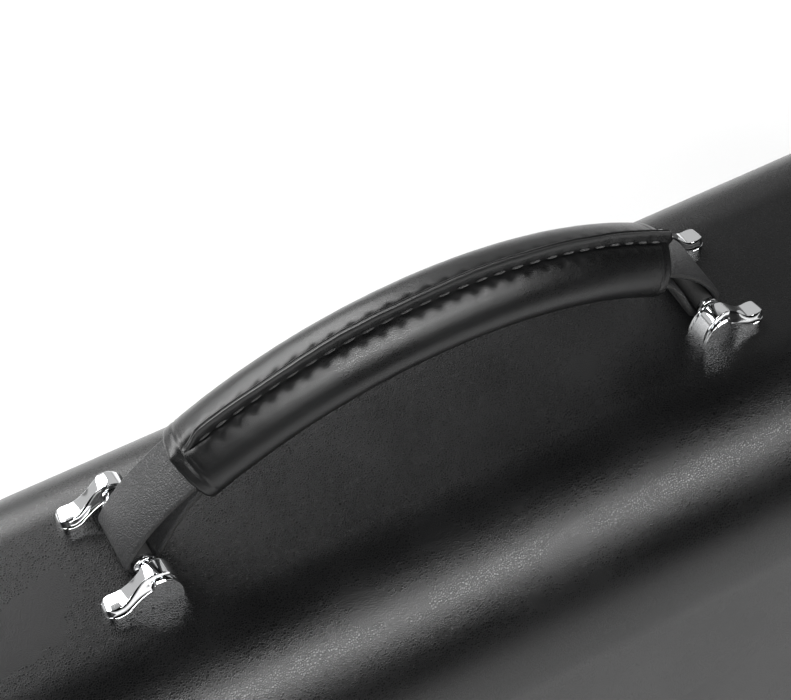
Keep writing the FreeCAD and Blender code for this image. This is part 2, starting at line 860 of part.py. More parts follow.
def bow_holder(x, z):
    """Padded block under the lid's lining face that a bow lies in."""
    face_y = lid_inside_y(abs(z - mid_z) + holder_width / 2 + mid_z)
    body = box(x - holder_length / 2, x + holder_length / 2, face_y - holder_t, crown_y,
               z - holder_width / 2, z + holder_width / 2)
    groove = rod(x - holder_length / 2, face_y - holder_t, z, 5.0, holder_length, OUT_X)
    kept = body.cut(groove)
    return kept.common(lid_form(lid_wall + fit_gap + lining_t))


def spinner_y(z):
    """Depth of a spinner's near face."""
    face_y = lid_inside_y(abs(z - mid_z) + holder_width / 2 + mid_z)
    return face_y - holder_t - move_gap - spinner_t


def bow_spinner(z):
    """Toggle that turns across the bow's frog."""
    y = spinner_y(z)
    bar = box(frog_x - spinner_length / 2, frog_x + spinner_length / 2, y, y + spinner_t,
              z + holder_width / 2 + 1, z + holder_width / 2 + 1 + spinner_width)
    rim = [e for e in bar.Edges if e.BoundBox.YLength > 1]
    bar = bar.makeFillet(spinner_width / 2.2, rim)
    middle = z + holder_width / 2 + 1 + spinner_width / 2
    return bar.cut(rod(frog_x, y, middle, spinner_pin_r + running_gap, spinner_t, OUT_Y))


def spinner_pin(z):
    """Headed pin that a spinner turns on, set into the lid."""
    y = spinner_y(z)
    middle = z + holder_width / 2 + 1 + spinner_width / 2
    depth = lid_inside_y(middle) - y
    head = rod(frog_x, y - 1.5 - running_gap, middle, 2 * spinner_pin_r, 1.5, OUT_Y)
    post = rod(frog_x, y - running_gap, middle, spinner_pin_r, depth - 0.5, OUT_Y)
    back = y + spinner_t + running_gap
    collar = rod(frog_x, back, middle, 1.6 * spinner_pin_r, depth - spinner_t - 1, OUT_Y)
    return union([head, post, collar])


save("base_shell", base_shell())
save("base_cover", base_cover())
save("base_binding", base_binding())
save("base_lining", base_lining())
save("suspension_bed", suspension_bed())
save("neck_cradle", neck_cradle())
save("neck_tab", neck_tab())
save("neck_tab_catch", neck_tab_catch())
save("accessory_lid", accessory_lid_panel())
save("accessory_hinge_pin", accessory_hinge_pin())
save("neck_tab_anchor", neck_tab_anchor())
save("lid_shell", lid_shell())
save("lid_cover", lid_cover())
save("lid_binding", lid_binding())
save("lid_lining", lid_lining())
for number, (foot_x, foot_y) in enumerate(foot_places(), 1):
    save("spine_foot_%d" % number, spine_foot(foot_x, foot_y))
save("foot_screws", group([foot_screw(x, y) for x, y in foot_places()]))
for name, x in (("left", -hinge_spread), ("middle", 0.0), ("right", hinge_spread)):
    save("hinge_base_" + name, hinge_half(x, -1))
    save("hinge_lid_" + name, hinge_half(x, 1))
save("hinge_pins", group([hinge_pin(x) for x in (-hinge_spread, 0.0, hinge_spread)]))
for name, x in (("left", -latch_spread), ("right", latch_spread)):
    save("latch_plate_" + name, latch_plate(x))
    save("latch_hasp_" + name, hasp(x))
    save("latch_catch_" + name, latch_catch(x))
    save("latch_button_" + name, latch_button(x))
save("hasp_pins", group([hasp_pin(-latch_spread), hasp_pin(latch_spread)]))
for name, side in (("left", -1), ("right", 1)):
    save("handle_lug_front_" + name, handle_lug(side, -1))
    save("handle_lug_back_" + name, handle_lug(side, 1))
    save("handle_pin_" + name, handle_pin(side))
    save("ring_plate_" + name, ring_plate(side))
    save("strap_ring_" + name, strap_ring(side))
save("handle_screws", group([handle_screw(x, y) for x, y in lug_screw_places()]))
save("backing_plate", backing_plate())
save("handle_strap", handle_strap())
save("grip_core", grip_core())
save("grip_cover", grip_cover())
save("grip_welt", grip_welt())
for name, z in zip(("lower", "upper"), bow_places()):
    save("bow_spinner_" + name, bow_spinner(z))
    save("bow_frog_holder_" + name, bow_holder(frog_x, z))
    save("bow_tip_holder_" + name, bow_holder(tip_x, z))
save("spinner_pins", group([spinner_pin(z) for z in bow_places()]))
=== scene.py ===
import bmesh
import bpy
import json
import math
from mathutils import Matrix, Vector, noise


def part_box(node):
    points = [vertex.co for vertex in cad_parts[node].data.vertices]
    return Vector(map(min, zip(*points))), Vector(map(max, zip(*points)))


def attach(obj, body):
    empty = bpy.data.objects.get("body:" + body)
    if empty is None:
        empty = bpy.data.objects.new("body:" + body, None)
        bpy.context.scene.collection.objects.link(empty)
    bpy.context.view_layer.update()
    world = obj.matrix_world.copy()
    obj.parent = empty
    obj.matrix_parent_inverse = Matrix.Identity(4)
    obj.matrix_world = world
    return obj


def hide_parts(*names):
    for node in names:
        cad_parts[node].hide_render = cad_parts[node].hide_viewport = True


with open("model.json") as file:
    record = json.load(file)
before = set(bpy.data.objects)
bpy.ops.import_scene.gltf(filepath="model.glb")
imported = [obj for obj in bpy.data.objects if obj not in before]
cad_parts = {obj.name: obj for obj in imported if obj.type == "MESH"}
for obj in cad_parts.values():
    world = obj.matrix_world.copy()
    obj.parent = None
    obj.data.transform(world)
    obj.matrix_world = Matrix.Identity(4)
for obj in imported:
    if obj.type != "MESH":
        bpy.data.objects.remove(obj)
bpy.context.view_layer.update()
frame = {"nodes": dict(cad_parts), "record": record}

MM = 0.001

# The case as the frame gives it
BASE_LOW, BASE_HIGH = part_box("base_cover")
LID_LOW, LID_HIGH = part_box("lid_cover")
LID_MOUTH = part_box("lid_binding")[0].y
BED_LOW, BED_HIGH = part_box("suspension_bed")
LEFT_LUG, RIGHT_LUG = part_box("handle_lug_front_left"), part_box("handle_lug_front_right")
BACK_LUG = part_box("handle_lug_back_left")
LEFT_PIN, RIGHT_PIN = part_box("handle_pin_left"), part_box("handle_pin_right")
TOP = BASE_HIGH.z
BOTTOM = BASE_LOW.z
FRONT = BASE_LOW.y
CROWN = LID_HIGH.y
MIDDLE = (TOP + BOTTOM) / 2
HALF_LENGTH = BASE_HIGH.x
HANDLE_Y = (LEFT_PIN[0].y + LEFT_PIN[1].y) / 2
PIN_X = (RIGHT_PIN[0].x + RIGHT_PIN[1].x) / 2
PIN_Z = (RIGHT_PIN[0].z + RIGHT_PIN[1].z) / 2

# Roundings of the case, as built
FRONT_R = 40 * MM
SHOULDER_R = 22 * MM
SHOULDER_ANGLE = math.radians(68)
END_R = 20 * MM
COVER_T = 1.2 * MM
BASE_DEPTH = 97 * MM
SEAM = FRONT + BASE_DEPTH
SEAM_HALF = (TOP - BOTTOM) / 2 - SHOULDER_R * (1 - math.cos(SHOULDER_ANGLE))
LID_WALL = 7 * MM

# The handle
GRIP_ARC = 104.5 * MM
GRIP_CROWN = 47.1 * MM
GRIP_HALF_ANGLE = math.asin(61.6 / 104.5)
LEAN = math.radians(5.6)
GRIP_CENTRE = Vector((0, HANDLE_Y, TOP + GRIP_CROWN - GRIP_ARC))
GRIP_HALF_HEIGHT = 7.3 * MM
FIN_HEIGHT = 3.0 * MM
FIN_PLACE = -0.8 * MM
STRAP_HALF = 7.85 * MM
STITCH_PITCH = 4.5 * MM
VALLEY_DEPTH = 1.0 * MM
PUCKER_DEPTH = 0.24 * MM
FOLD_DEPTH = 0.2 * MM
STRAP_T = 1.8 * MM
STRAP_EDGE_R = 0.35 * MM
LOOP_R = 3.8 * MM
LUG_TOE = 3.7 * MM
LUG_HUB = 10.2 * MM
LUG_HALF_WIDTH = 3.7 * MM
LUG_TILT = 0.55 * MM

# The camera's place, from the middle of the handle's seat, and its lens
EYE = Vector((-136.08, -244.3, 404.03)) * MM
LENS = 91.02


# ---------------------------------------------------------------- shader groups


def new_group(name, inputs, outputs):
    """Empty shader node group with named sockets; returns tree, its input and its output node."""
    tree = bpy.data.node_groups.new(name, "ShaderNodeTree")
    for label, kind, value in inputs:
        socket = tree.interface.new_socket(label, in_out="INPUT", socket_type="NodeSocket" + kind)
        if value is not None:
            socket.default_value = value
    for label, kind in outputs:
        tree.interface.new_socket(label, in_out="OUTPUT", socket_type="NodeSocket" + kind)
    return tree, tree.nodes.new("NodeGroupInput"), tree.nodes.new("NodeGroupOutput")


def node(tree, kind, links=(), **settings):
    """Node of a kind with its settings, fed by (socket name or number, source) pairs."""
    made = tree.nodes.new("ShaderNode" + kind)
    for key, value in settings.items():
        setattr(made, key, value)
    for socket, source in links:
        if isinstance(source, bpy.types.NodeSocket):
            tree.links.new(source, made.inputs[socket])
        else:
            made.inputs[socket].default_value = source
    return made


def maths(tree, operation, first, second=0.0):
    """Output of a Math node."""
    return node(tree, "Math", [(0, first), (1, second)], operation=operation).outputs[0]


def remap(tree, value, low, high, to_low=0.0, to_high=1.0):
    """Output of a clamped Map Range node."""
    made = node(tree, "MapRange", [(0, value), (1, low), (2, high), (3, to_low), (4, to_high)])
    return made.outputs[0]


def mix_colour(tree, factor, first, second):
    """Output of a colour Mix node."""
    made = node(tree, "Mix", data_type="RGBA", blend_type="MIX")
    for socket, source in ((0, factor), (6, first), (7, second)):
        if isinstance(source, bpy.types.NodeSocket):
            tree.links.new(source, made.inputs[socket])
        else:
            made.inputs[socket].default_value = source
    return made.outputs[2]


def build_leather_grain():
    """Pebbled leather: small raised cells with creases between them, and slow changes of tone."""
    tree, given, out = new_group(
        "leather_grain",
        [("Vector", "Vector", None), ("Cell Size", "Float", 1.0), ("Crease", "Float", 0.5)],
        [("Height", "Float"), ("Creases", "Float"), ("Tone", "Float")],
    )
    place = given.outputs["Vector"]
    scale = maths(tree, "DIVIDE", 1000.0, given.outputs["Cell Size"])
    warp = node(tree, "TexNoise", [("Vector", place), ("Scale", 420.0), ("Detail", 2.0)])
    bend = node(tree, "VectorMath", [(0, warp.outputs["Color"]), (1, (0.0009, 0.0009, 0.0009))],
                operation="MULTIPLY")
    bent = node(tree, "VectorMath", [(0, place), (1, bend.outputs[0])], operation="ADD")
    cells = node(tree, "TexVoronoi", [("Vector", bent.outputs[0]), ("Scale", scale)],
                 feature="DISTANCE_TO_EDGE")
    crease = remap(tree, cells.outputs["Distance"], 0.0, 0.22, 1.0, 0.0)
    fine = node(tree, "TexNoise", [("Vector", place), ("Scale", 2600.0), ("Detail", 3.0)])
    slow = node(tree, "TexNoise", [("Vector", place), ("Scale", 38.0), ("Detail", 4.0)])
    dome = maths(tree, "SUBTRACT", 1.0, maths(tree, "MULTIPLY", crease, given.outputs["Crease"]))
    fine_part = maths(tree, "MULTIPLY", fine.outputs["Fac"], 0.35)
    tree.links.new(maths(tree, "ADD", dome, fine_part), out.inputs["Height"])
    tree.links.new(crease, out.inputs["Creases"])
    tree.links.new(slow.outputs["Fac"], out.inputs["Tone"])
    return tree


def build_handling():
    """Rubbed and dusty places: a slow mask and fine hairline scuffs."""
    tree, given, out = new_group(
        "handling_marks",
        [("Vector", "Vector", None), ("Amount", "Float", 0.5)],
        [("Rub", "Float"), ("Scuffs", "Float")],
    )
    place, amount = given.outputs["Vector"], given.outputs["Amount"]
    slow = node(tree, "TexNoise", [("Vector", place), ("Scale", 22.0), ("Detail", 5.0),
                                   ("Roughness", 0.62)])
    stretch = node(tree, "Mapping", [("Vector", place), ("Rotation", (0.2, 0.4, 0.6)),
                                     ("Scale", (24.0, 420.0, 420.0))])
    hair = node(tree, "TexNoise", [("Vector", stretch.outputs[0]), ("Scale", 3.0), ("Detail", 4.0)])
    rub = maths(tree, "MULTIPLY", remap(tree, slow.outputs["Fac"], 0.45, 0.75), amount)
    scuff = maths(tree, "MULTIPLY", remap(tree, hair.outputs["Fac"], 0.62, 0.72), amount)
    tree.links.new(rub, out.inputs["Rub"])
    tree.links.new(scuff, out.inputs["Scuffs"])
    return tree


def build_pile():
    """Short velvet pile: fine tufts and brushed patches."""
    tree, given, out = new_group(
        "velvet_pile",
        [("Vector", "Vector", None)],
        [("Height", "Float"), ("Tuft", "Float"), ("Brushed", "Float")],
    )
    place = given.outputs["Vector"]
    tufts = node(tree, "TexNoise", [("Vector", place), ("Scale", 1500.0), ("Detail", 3.0)])
    brushed = node(tree, "TexNoise", [("Vector", place), ("Scale", 17.0), ("Detail", 3.0),
                                      ("Distortion", 1.2)])
    tree.links.new(tufts.outputs["Fac"], out.inputs["Height"])
    tree.links.new(remap(tree, tufts.outputs["Fac"], 0.3, 0.7), out.inputs["Tuft"])
    tree.links.new(remap(tree, brushed.outputs["Fac"], 0.35, 0.65), out.inputs["Brushed"])
    return tree


def build_weave():
    """Plain ribbon weave from two crossed waves."""
    tree, given, out = new_group(
        "ribbon_weave",
        [("Vector", "Vector", None), ("Pitch", "Float", 0.6)],
        [("Height", "Float")],
    )
    scale = maths(tree, "DIVIDE", 500.0, given.outputs["Pitch"])
    across = node(tree, "TexWave", [("Vector", given.outputs["Vector"]), ("Scale", scale)],
                  bands_direction="X")
    along = node(tree, "TexWave", [("Vector", given.outputs["Vector"]), ("Scale", scale)],
                 bands_direction="Z")
    crossed = maths(tree, "MAXIMUM", across.outputs["Fac"], along.outputs["Fac"])
    tree.links.new(crossed, out.inputs["Height"])
    return tree


LEATHER_GRAIN = build_leather_grain()
HANDLING = build_handling()
PILE = build_pile()
WEAVE = build_weave()


# ---------------------------------------------------------------- materials


def new_material(name, **values):
    """Material with its shader set; returns material, tree, shader and Object coordinates."""
    material = bpy.data.materials.new(name)
    material.use_nodes = True
    tree = material.node_tree
    shader = tree.nodes["Principled BSDF"]
    for key, value in values.items():
        shader.inputs[key.replace("_", " ")].default_value = value
    place = tree.nodes.new("ShaderNodeTexCoord").outputs["Object"]
    return material, tree, shader, place


def placed_group(tree, group, **links):
    """A shader group placed in a material."""
    made = tree.nodes.new("ShaderNodeGroup")
    made.node_tree = group
    for key, source in links.items():
        socket = made.inputs[key.replace("_", " ")]
        if isinstance(source, bpy.types.NodeSocket):
            tree.links.new(source, socket)
        else:
            socket.default_value = source
    return made


def bump(tree, shader, height, distance):
    """Bump of a height in metres feeding the shader's normal."""
    made = node(tree, "Bump", [("Height", height), ("Distance", distance), ("Strength", 1.0)])
    tree.links.new(made.outputs[0], shader.inputs["Normal"])


def leather(name, dark, light, cell, depth, rough, crease=0.6, wear=0.5):
    """Dyed leather with pebbled grain."""
    material, tree, shader, place = new_material(name, Specular_IOR_Level=0.5)
    grain = placed_group(tree, LEATHER_GRAIN, Vector=place, Cell_Size=cell, Crease=crease)
    marks = placed_group(tree, HANDLING, Vector=place, Amount=wear)
    tone = mix_colour(tree, remap(tree, grain.outputs["Tone"], 0.35, 0.65), dark, light)
    worn = mix_colour(tree, maths(tree, "MULTIPLY", marks.outputs["Rub"], 0.35), tone,
                      tuple(min(1.0, c * 1.7 + 0.004) for c in light[:3]) + (1.0,))
    # Painted shade: the colour is darkened in the grain's creases, the low lines between its raised
    # cells.
    crease_shaded = mix_colour(tree, maths(tree, "MULTIPLY", grain.outputs["Creases"], 0.55), worn,
                         tuple(c * 0.35 for c in dark[:3]) + (1.0,))
    tree.links.new(crease_shaded, shader.inputs["Base Color"])
    base_rough = remap(tree, grain.outputs["Tone"], 0.3, 0.7, rough - 0.03, rough + 0.04)
    rough_sum = maths(tree, "ADD", base_rough, maths(tree, "MULTIPLY", grain.outputs["Creases"], 0.12))
    rough_worn = maths(tree, "SUBTRACT", rough_sum, maths(tree, "MULTIPLY", marks.outputs["Rub"], 0.08))
    scuffed = maths(tree, "MULTIPLY", marks.outputs["Scuffs"], 0.1)
    tree.links.new(maths(tree, "ADD", rough_worn, scuffed), shader.inputs["Roughness"])
    bump(tree, shader, grain.outputs["Height"], depth)
    return material


def metal(name, colour, rough, wear=0.5):
    """Plated metal with faint scuffs and fingerprints in its gloss."""
    material, tree, shader, place = new_material(name, Metallic=1.0, Base_Color=colour)
    marks = placed_group(tree, HANDLING, Vector=place, Amount=wear)
    soiled = maths(tree, "ADD", rough, maths(tree, "MULTIPLY", marks.outputs["Rub"], 0.06))
    tree.links.new(maths(tree, "ADD", soiled, maths(tree, "MULTIPLY", marks.outputs["Scuffs"], 0.05)),
                   shader.inputs["Roughness"])
    ripple = node(tree, "TexNoise", [("Vector", place), ("Scale", 180.0), ("Detail", 1.0)])
    bump(tree, shader, ripple.outputs["Fac"], 0.00001)
    return material


def velvet(name, dark, light):
    """Plush lining with brushed pile."""
    material, tree, shader, place = new_material(name, Roughness=0.95, Sheen_Weight=0.35,
                                                 Sheen_Roughness=0.4, Specular_IOR_Level=0.15)
    pile = placed_group(tree, PILE, Vector=place)
    body = mix_colour(tree, pile.outputs["Brushed"], dark, light)
    deep = tuple(c * 0.45 for c in dark[:3]) + (1.0,)
    tree.links.new(mix_colour(tree, maths(tree, "MULTIPLY", pile.outputs["Tuft"], 0.5), body, deep),
                   shader.inputs["Base Color"])
    bump(tree, shader, pile.outputs["Height"], 0.0006)
    return material


def ribbon(name, dark, light, pitch):
    """Woven ribbon or thread."""
    material, tree, shader, place = new_material(name, Roughness=0.7, Sheen_Weight=0.3)
    weave = placed_group(tree, WEAVE, Vector=place, Pitch=pitch)
    # Painted shade: the colour is darker where the weave's height is low, in the hollows between its
    # threads.
    tree.links.new(mix_colour(tree, weave.outputs["Height"], dark, light), shader.inputs["Base Color"])
    bump(tree, shader, weave.outputs["Height"], 0.0002)
    return material


def rubber(name, colour):
    """Moulded rubber with a fine satin texture and dust."""
    material, tree, shader, place = new_material(name, Specular_IOR_Level=0.35)
    marks = placed_group(tree, HANDLING, Vector=place, Amount=0.8)
    dusty = tuple(c * 3 + 0.03 for c in colour[:3]) + (1.0,)
    tree.links.new(mix_colour(tree, maths(tree, "MULTIPLY", marks.outputs["Rub"], 0.5), colour, dusty),
                   shader.inputs["Base Color"])
    fine = node(tree, "TexNoise", [("Vector", place), ("Scale", 1800.0), ("Detail", 2.0)])
    tree.links.new(remap(tree, fine.outputs["Fac"], 0.3, 0.7, 0.62, 0.8), shader.inputs["Roughness"])
    bump(tree, shader, fine.outputs["Fac"], 0.0001)
    return material


def board(name, dark, light):
    """Laminated shell board, seen only at its cut edges."""
    material, tree, shader, place = new_material(name, Roughness=0.7)
    lines = node(tree, "TexWave", [("Vector", place), ("Scale", 300.0), ("Distortion", 2.0)],
                 bands_direction="Y")
    tree.links.new(mix_colour(tree, lines.outputs["Fac"], dark, light), shader.inputs["Base Color"])
    bump(tree, shader, lines.outputs["Fac"], 0.0002)
    return material


CASE_LEATHER = leather("case_leather", (0.0019, 0.0020, 0.0022, 1), (0.0029, 0.0030, 0.0033, 1),
                       cell=0.55, depth=0.00003, rough=0.25, crease=0.6, wear=0.15)
# Black strap leather, its colour raised far above the case leather's to paint in the grey sheen on the
# strap's sloping face.
STRAP_LEATHER_PAINTED_SHEEN = leather("strap_leather", (0.022, 0.0224, 0.0232, 1), (0.032, 0.0325, 0.0335, 1),
                        cell=0.72, depth=0.00012, rough=0.4, crease=0.8, wear=0.3)
GRIP_LEATHER = leather("grip_leather", (0.003, 0.0031, 0.0033, 1), (0.0042, 0.0044, 0.0047, 1),
                       cell=0.4, depth=0.000016, rough=0.27, crease=0.6, wear=0.35)
RAW_EDGE = leather("raw_ply_line", (0.035, 0.033, 0.03, 1), (0.05, 0.047, 0.042, 1),
                   cell=0.5, depth=0.00004, rough=0.6, crease=0.4, wear=0.3)
PIPING = leather("seam_binding", (0.008, 0.008, 0.0085, 1), (0.013, 0.013, 0.0135, 1),
                 cell=0.7, depth=0.00004, rough=0.4, crease=0.5, wear=0.4)
CHROME = metal("polished_chrome", (0.86, 0.87, 0.88, 1), 0.06, 0.5)
STEEL = metal("zinc_steel", (0.55, 0.55, 0.56, 1), 0.3, 0.8)
BRASS = metal("satin_brass", (0.75, 0.57, 0.28, 1), 0.24, 0.7)
PLUSH = velvet("wine_plush", (0.16, 0.012, 0.022, 1), (0.25, 0.022, 0.036, 1))
RIBBON = ribbon("wine_ribbon", (0.09, 0.006, 0.012, 1), (0.2, 0.018, 0.03, 1), 0.7)
THREAD = ribbon("black_thread", (0.002, 0.002, 0.002, 1), (0.005, 0.005, 0.005, 1), 0.25)
RUBBER = rubber("foot_rubber", (0.012, 0.012, 0.012, 1))
BOARD = board("shell_board", (0.18, 0.11, 0.05, 1), (0.32, 0.2, 0.1, 1))


# ---------------------------------------------------------------- making pieces


def finish_piece(name, bm, material, body, stands_for=(), smooth=40, doubles=0.0):
    """Turn a bmesh into a piece riding on a body."""
    if doubles:
        bmesh.ops.remove_doubles(bm, verts=bm.verts, dist=doubles)
    bmesh.ops.recalc_face_normals(bm, faces=bm.faces)
    piece = link_form(name, bm)
    bm.free()
    piece.data.materials.append(material)
    piece.data.shade_smooth()
    if smooth:
        piece.data.set_sharp_from_angle(angle=math.radians(smooth))
    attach(piece, body)
    if stands_for:
        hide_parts(*stands_for)
    return piece


def add_modifier(piece, kind, **settings):
    """Modifier on a piece, with its settings."""
    made = piece.modifiers.new(kind.lower(), kind)
    for key, value in settings.items():
        setattr(made, key, value)


def bevel_edges(bm, edges, width, segments):
    """Round edges to a radius."""
    bmesh.ops.bevel(bm, geom=edges, offset=width, offset_type="OFFSET", segments=segments,
                    profile=0.5, affect="EDGES", clamp_overlap=False, material=-1)


def close_ends(bm):
    """Fill every open rim."""
    bmesh.ops.holes_fill(bm, edges=[e for e in bm.edges if e.is_boundary], sides=0)


def cut_at(bm, y, **keep):
    """Cut a form off at a depth of the case."""
    bmesh.ops.bisect_plane(bm, geom=bm.verts[:] + bm.edges[:] + bm.faces[:], plane_co=(0, y, 0),
                           plane_no=(0, 1, 0), **keep)


def link_form(name, bm):
    """Object made from a bmesh, which stays open to use."""
    mesh = bpy.data.meshes.new(name)
    bm.to_mesh(mesh)
    made = bpy.data.objects.new(name, mesh)
    bpy.context.scene.collection.objects.link(made)
    return made


def smooth_step(value):
    """Ease from 0 to 1."""
    value = min(1.0, max(0.0, value))
    return value * value * (3 - 2 * value)


def loft(bm, rings):
    """Carry a closed ring of vertices through a list of places by extrusion."""
    ring = [bm.verts.new(place) for place in rings[0]]
    edges = [bm.edges.new((ring[i], ring[(i + 1) % len(ring)])) for i in range(len(ring))]
    for places in rings[1:]:
        grown = bmesh.ops.extrude_edge_only(bm, edges=edges)
        edges = [g for g in grown["geom"] if isinstance(g, bmesh.types.BMEdge)]
        joined = {}
        for face in (g for g in grown["geom"] if isinstance(g, bmesh.types.BMFace)):
            for edge in face.edges:
                first, second = edge.verts
                if first in ring and second not in ring:
                    joined[first] = second
                elif second in ring and first not in ring:
                    joined[second] = first
        ring = [joined[vert] for vert in ring]
        for vert, place in zip(ring, places):
            vert.co = place


def arc_points(centre, radius, start, end, count):
    """Points of an arc in the case's cross-section, as (y, z), with angles from +y toward +z."""
    made = []
    for step in range(count + 1):
        angle = math.radians(start + (end - start) * step / count)
        made.append((centre[0] + radius * math.cos(angle), centre[1] + radius * math.sin(angle)))
    return made


def base_outline(inset):
    """Cross-section of the base, closed past its mouth, as (y, z)."""
    back = SEAM - SHOULDER_R * math.sin(SHOULDER_ANGLE)
    high, low = TOP - inset, BOTTOM + inset
    front_y, round_y = FRONT + FRONT_R, SHOULDER_R - inset
    points = arc_points((front_y, TOP - FRONT_R), FRONT_R - inset, 180, 90, 28)
    points += [(front_y + (back - front_y) * share, high) for share in (0.25, 0.5, 0.75)]
    points += arc_points((back, TOP - SHOULDER_R), round_y, 90, 0, 26)
    points += arc_points((back, BOTTOM + SHOULDER_R), round_y, 0, -90, 26)
    points += [(back + (front_y - back) * share, low) for share in (0.25, 0.5, 0.75)]
    points += arc_points((front_y, BOTTOM + FRONT_R), FRONT_R - inset, 270, 180, 28)
    rise = TOP - BOTTOM - 2 * FRONT_R
    points += [(FRONT + inset, BOTTOM + FRONT_R + rise * share) for share in (0.25, 0.5, 0.75)]
    return points


def lid_outline(inset):
    """Cross-section of the lid, closed below its mouth, as (y, z)."""
    rise = CROWN - LID_MOUTH
    radius = (SEAM_HALF ** 2 + rise ** 2) / (2 * rise)
    centre_y = CROWN - radius
    reach = math.degrees(math.acos((SEAM - END_R - centre_y) / radius))
    points = arc_points((centre_y, MIDDLE), radius - inset, -reach, reach, 90)
    low = SEAM - END_R
    points += [(low, MIDDLE + SEAM_HALF * share) for share in (0.6, 0.2, -0.2, -0.6)]
    return points


def long_form(bm, outline, inset_all=0.0, spans=38):
    """Closed form along the case with rounded end rims."""
    rings = []
    turns = 12
    rim = END_R - inset_all
    reach = HALF_LENGTH - inset_all
    for side in (-1, 1):
        order = range(turns + 1) if side < 0 else range(turns, -1, -1)
        for step in order:
            angle = math.radians(90 * step / turns)
            inset = inset_all + rim * (1 - math.sin(angle))
            x = side * (reach - rim * (1 - math.cos(angle)))
            rings.append([(x, y, z) for y, z in outline(inset)])
        if side < 0:
            for step in range(1, spans):
                x = (reach - rim) * (2 * step / spans - 1)
                rings.append([(x, y, z) for y, z in outline(inset_all)])
    loft(bm, rings)
    close_ends(bm)


def make_case_skins():
    """Leather cloth over the base and over the lid."""
    plans = (("base", base_outline, BASE_HIGH.y, {"clear_outer": True}),
             ("lid", lid_outline, LID_LOW.y, {"clear_inner": True}))
    for body, outline, mouth, keep in plans:
        bm = bmesh.new()
        long_form(bm, outline)
        cut_at(bm, mouth, **keep)
        piece = finish_piece(body + "_cover_skin", bm, CASE_LEATHER, body, [body + "_cover"],
                             60)
        add_modifier(piece, "SOLIDIFY", thickness=COVER_T, offset=-1)


# ---------------------------------------------------------------- the handle


def grip_frame(angle):
    """Place on the grip's arc: centre, outward direction and direction along the grip."""
    out = Vector((math.sin(angle), 0, math.cos(angle)))
    along = Vector((math.cos(angle), 0, -math.sin(angle)))
    return GRIP_CENTRE + out * GRIP_ARC, out, along


def smooth_line(points, per_span, closed=False):
    """Rounded line through points, evenly divided."""
    line = []
    total = len(points)
    for index in range(total if closed else total - 1):
        picks = [index - 1, index, index + 1, index + 2]
        if closed:
            p0, p1, p2, p3 = (points[pick % total] for pick in picks)
        else:
            p0, p1, p2, p3 = (points[min(total - 1, max(0, pick))] for pick in picks)
        for step in range(per_span):
            t = step / per_span
            line.append(0.5 * (2 * p1 + (p2 - p0) * t + (2 * p0 - 5 * p1 + 4 * p2 - p3) * t * t
                               + (3 * p1 - p0 - 3 * p2 + p3) * t ** 3))
    if not closed:
        line.append(points[-1])
    return line


def grip_section():
    """Section of the grip: a sloping panel to the front of the seam, a fuller one behind it."""
    shape = [(-0.8, 7.7), (-2.6, 6.8), (-4.4, 5.75), (-6.2, 4.55), (-7.9, 3.0), (-9.3, 1.0),
             (-9.9, -1.2), (-9.4, -3.6), (-7.6, -5.8), (-4.6, -7.0), (0, -7.3), (4.8, -6.9),
             (8.0, -5.4), (9.6, -3.2), (10.0, -0.8), (9.3, 1.9), (7.6, 4.2), (5.4, 5.8),
             (3.0, 6.85), (1.0, 7.45)]
    return smooth_line([Vector((y * MM, z * MM)) for y, z in shape], 6, closed=True)


def lean_forward(bm):
    """Turn a piece of the handle about its pins to the handle's lean."""
    turn = Matrix.Rotation(LEAN, 3, "X")
    bmesh.ops.rotate(bm, cent=(0, HANDLE_Y, PIN_Z), matrix=turn, verts=bm.verts)


def grip_crease(across, out, run, from_end):
    """Depth of the creases, puckers and folds in the grip's sleeve at a place on it."""
    top = max(0.0, out / GRIP_HALF_HEIGHT)
    beside = across - FIN_PLACE
    near = math.exp(-((beside / (1.5 * MM)) ** 2)) * top
    drop = VALLEY_DEPTH * near * smooth_step(from_end / (6 * MM))
    beat = (0.5 + 0.5 * math.cos(2 * math.pi * run / STITCH_PITCH)) ** 2
    side = math.exp(-(((abs(beside) - 2.2 * MM) / (1.0 * MM)) ** 2)) * top
    drop += PUCKER_DEPTH * beat * side * smooth_step((from_end - 4 * MM) / (5 * MM))
    drop += 0.1 * MM * noise.noise(Vector((run * 260, across * 300, out * 150))) * (0.35 + near)
    fold = math.exp(-(((from_end - 3.1 * MM) / (0.3 * MM)) ** 2))
    wrinkle = 0.5 + 0.5 * math.sin(across * 900)
    fold += 0.5 * math.exp(-(((from_end - 4.3 * MM) / (0.3 * MM)) ** 2)) * wrinkle
    drop += FOLD_DEPTH * fold
    return drop + 0.6 * MM * (1 - min(1.0, from_end / (0.7 * MM))) ** 2


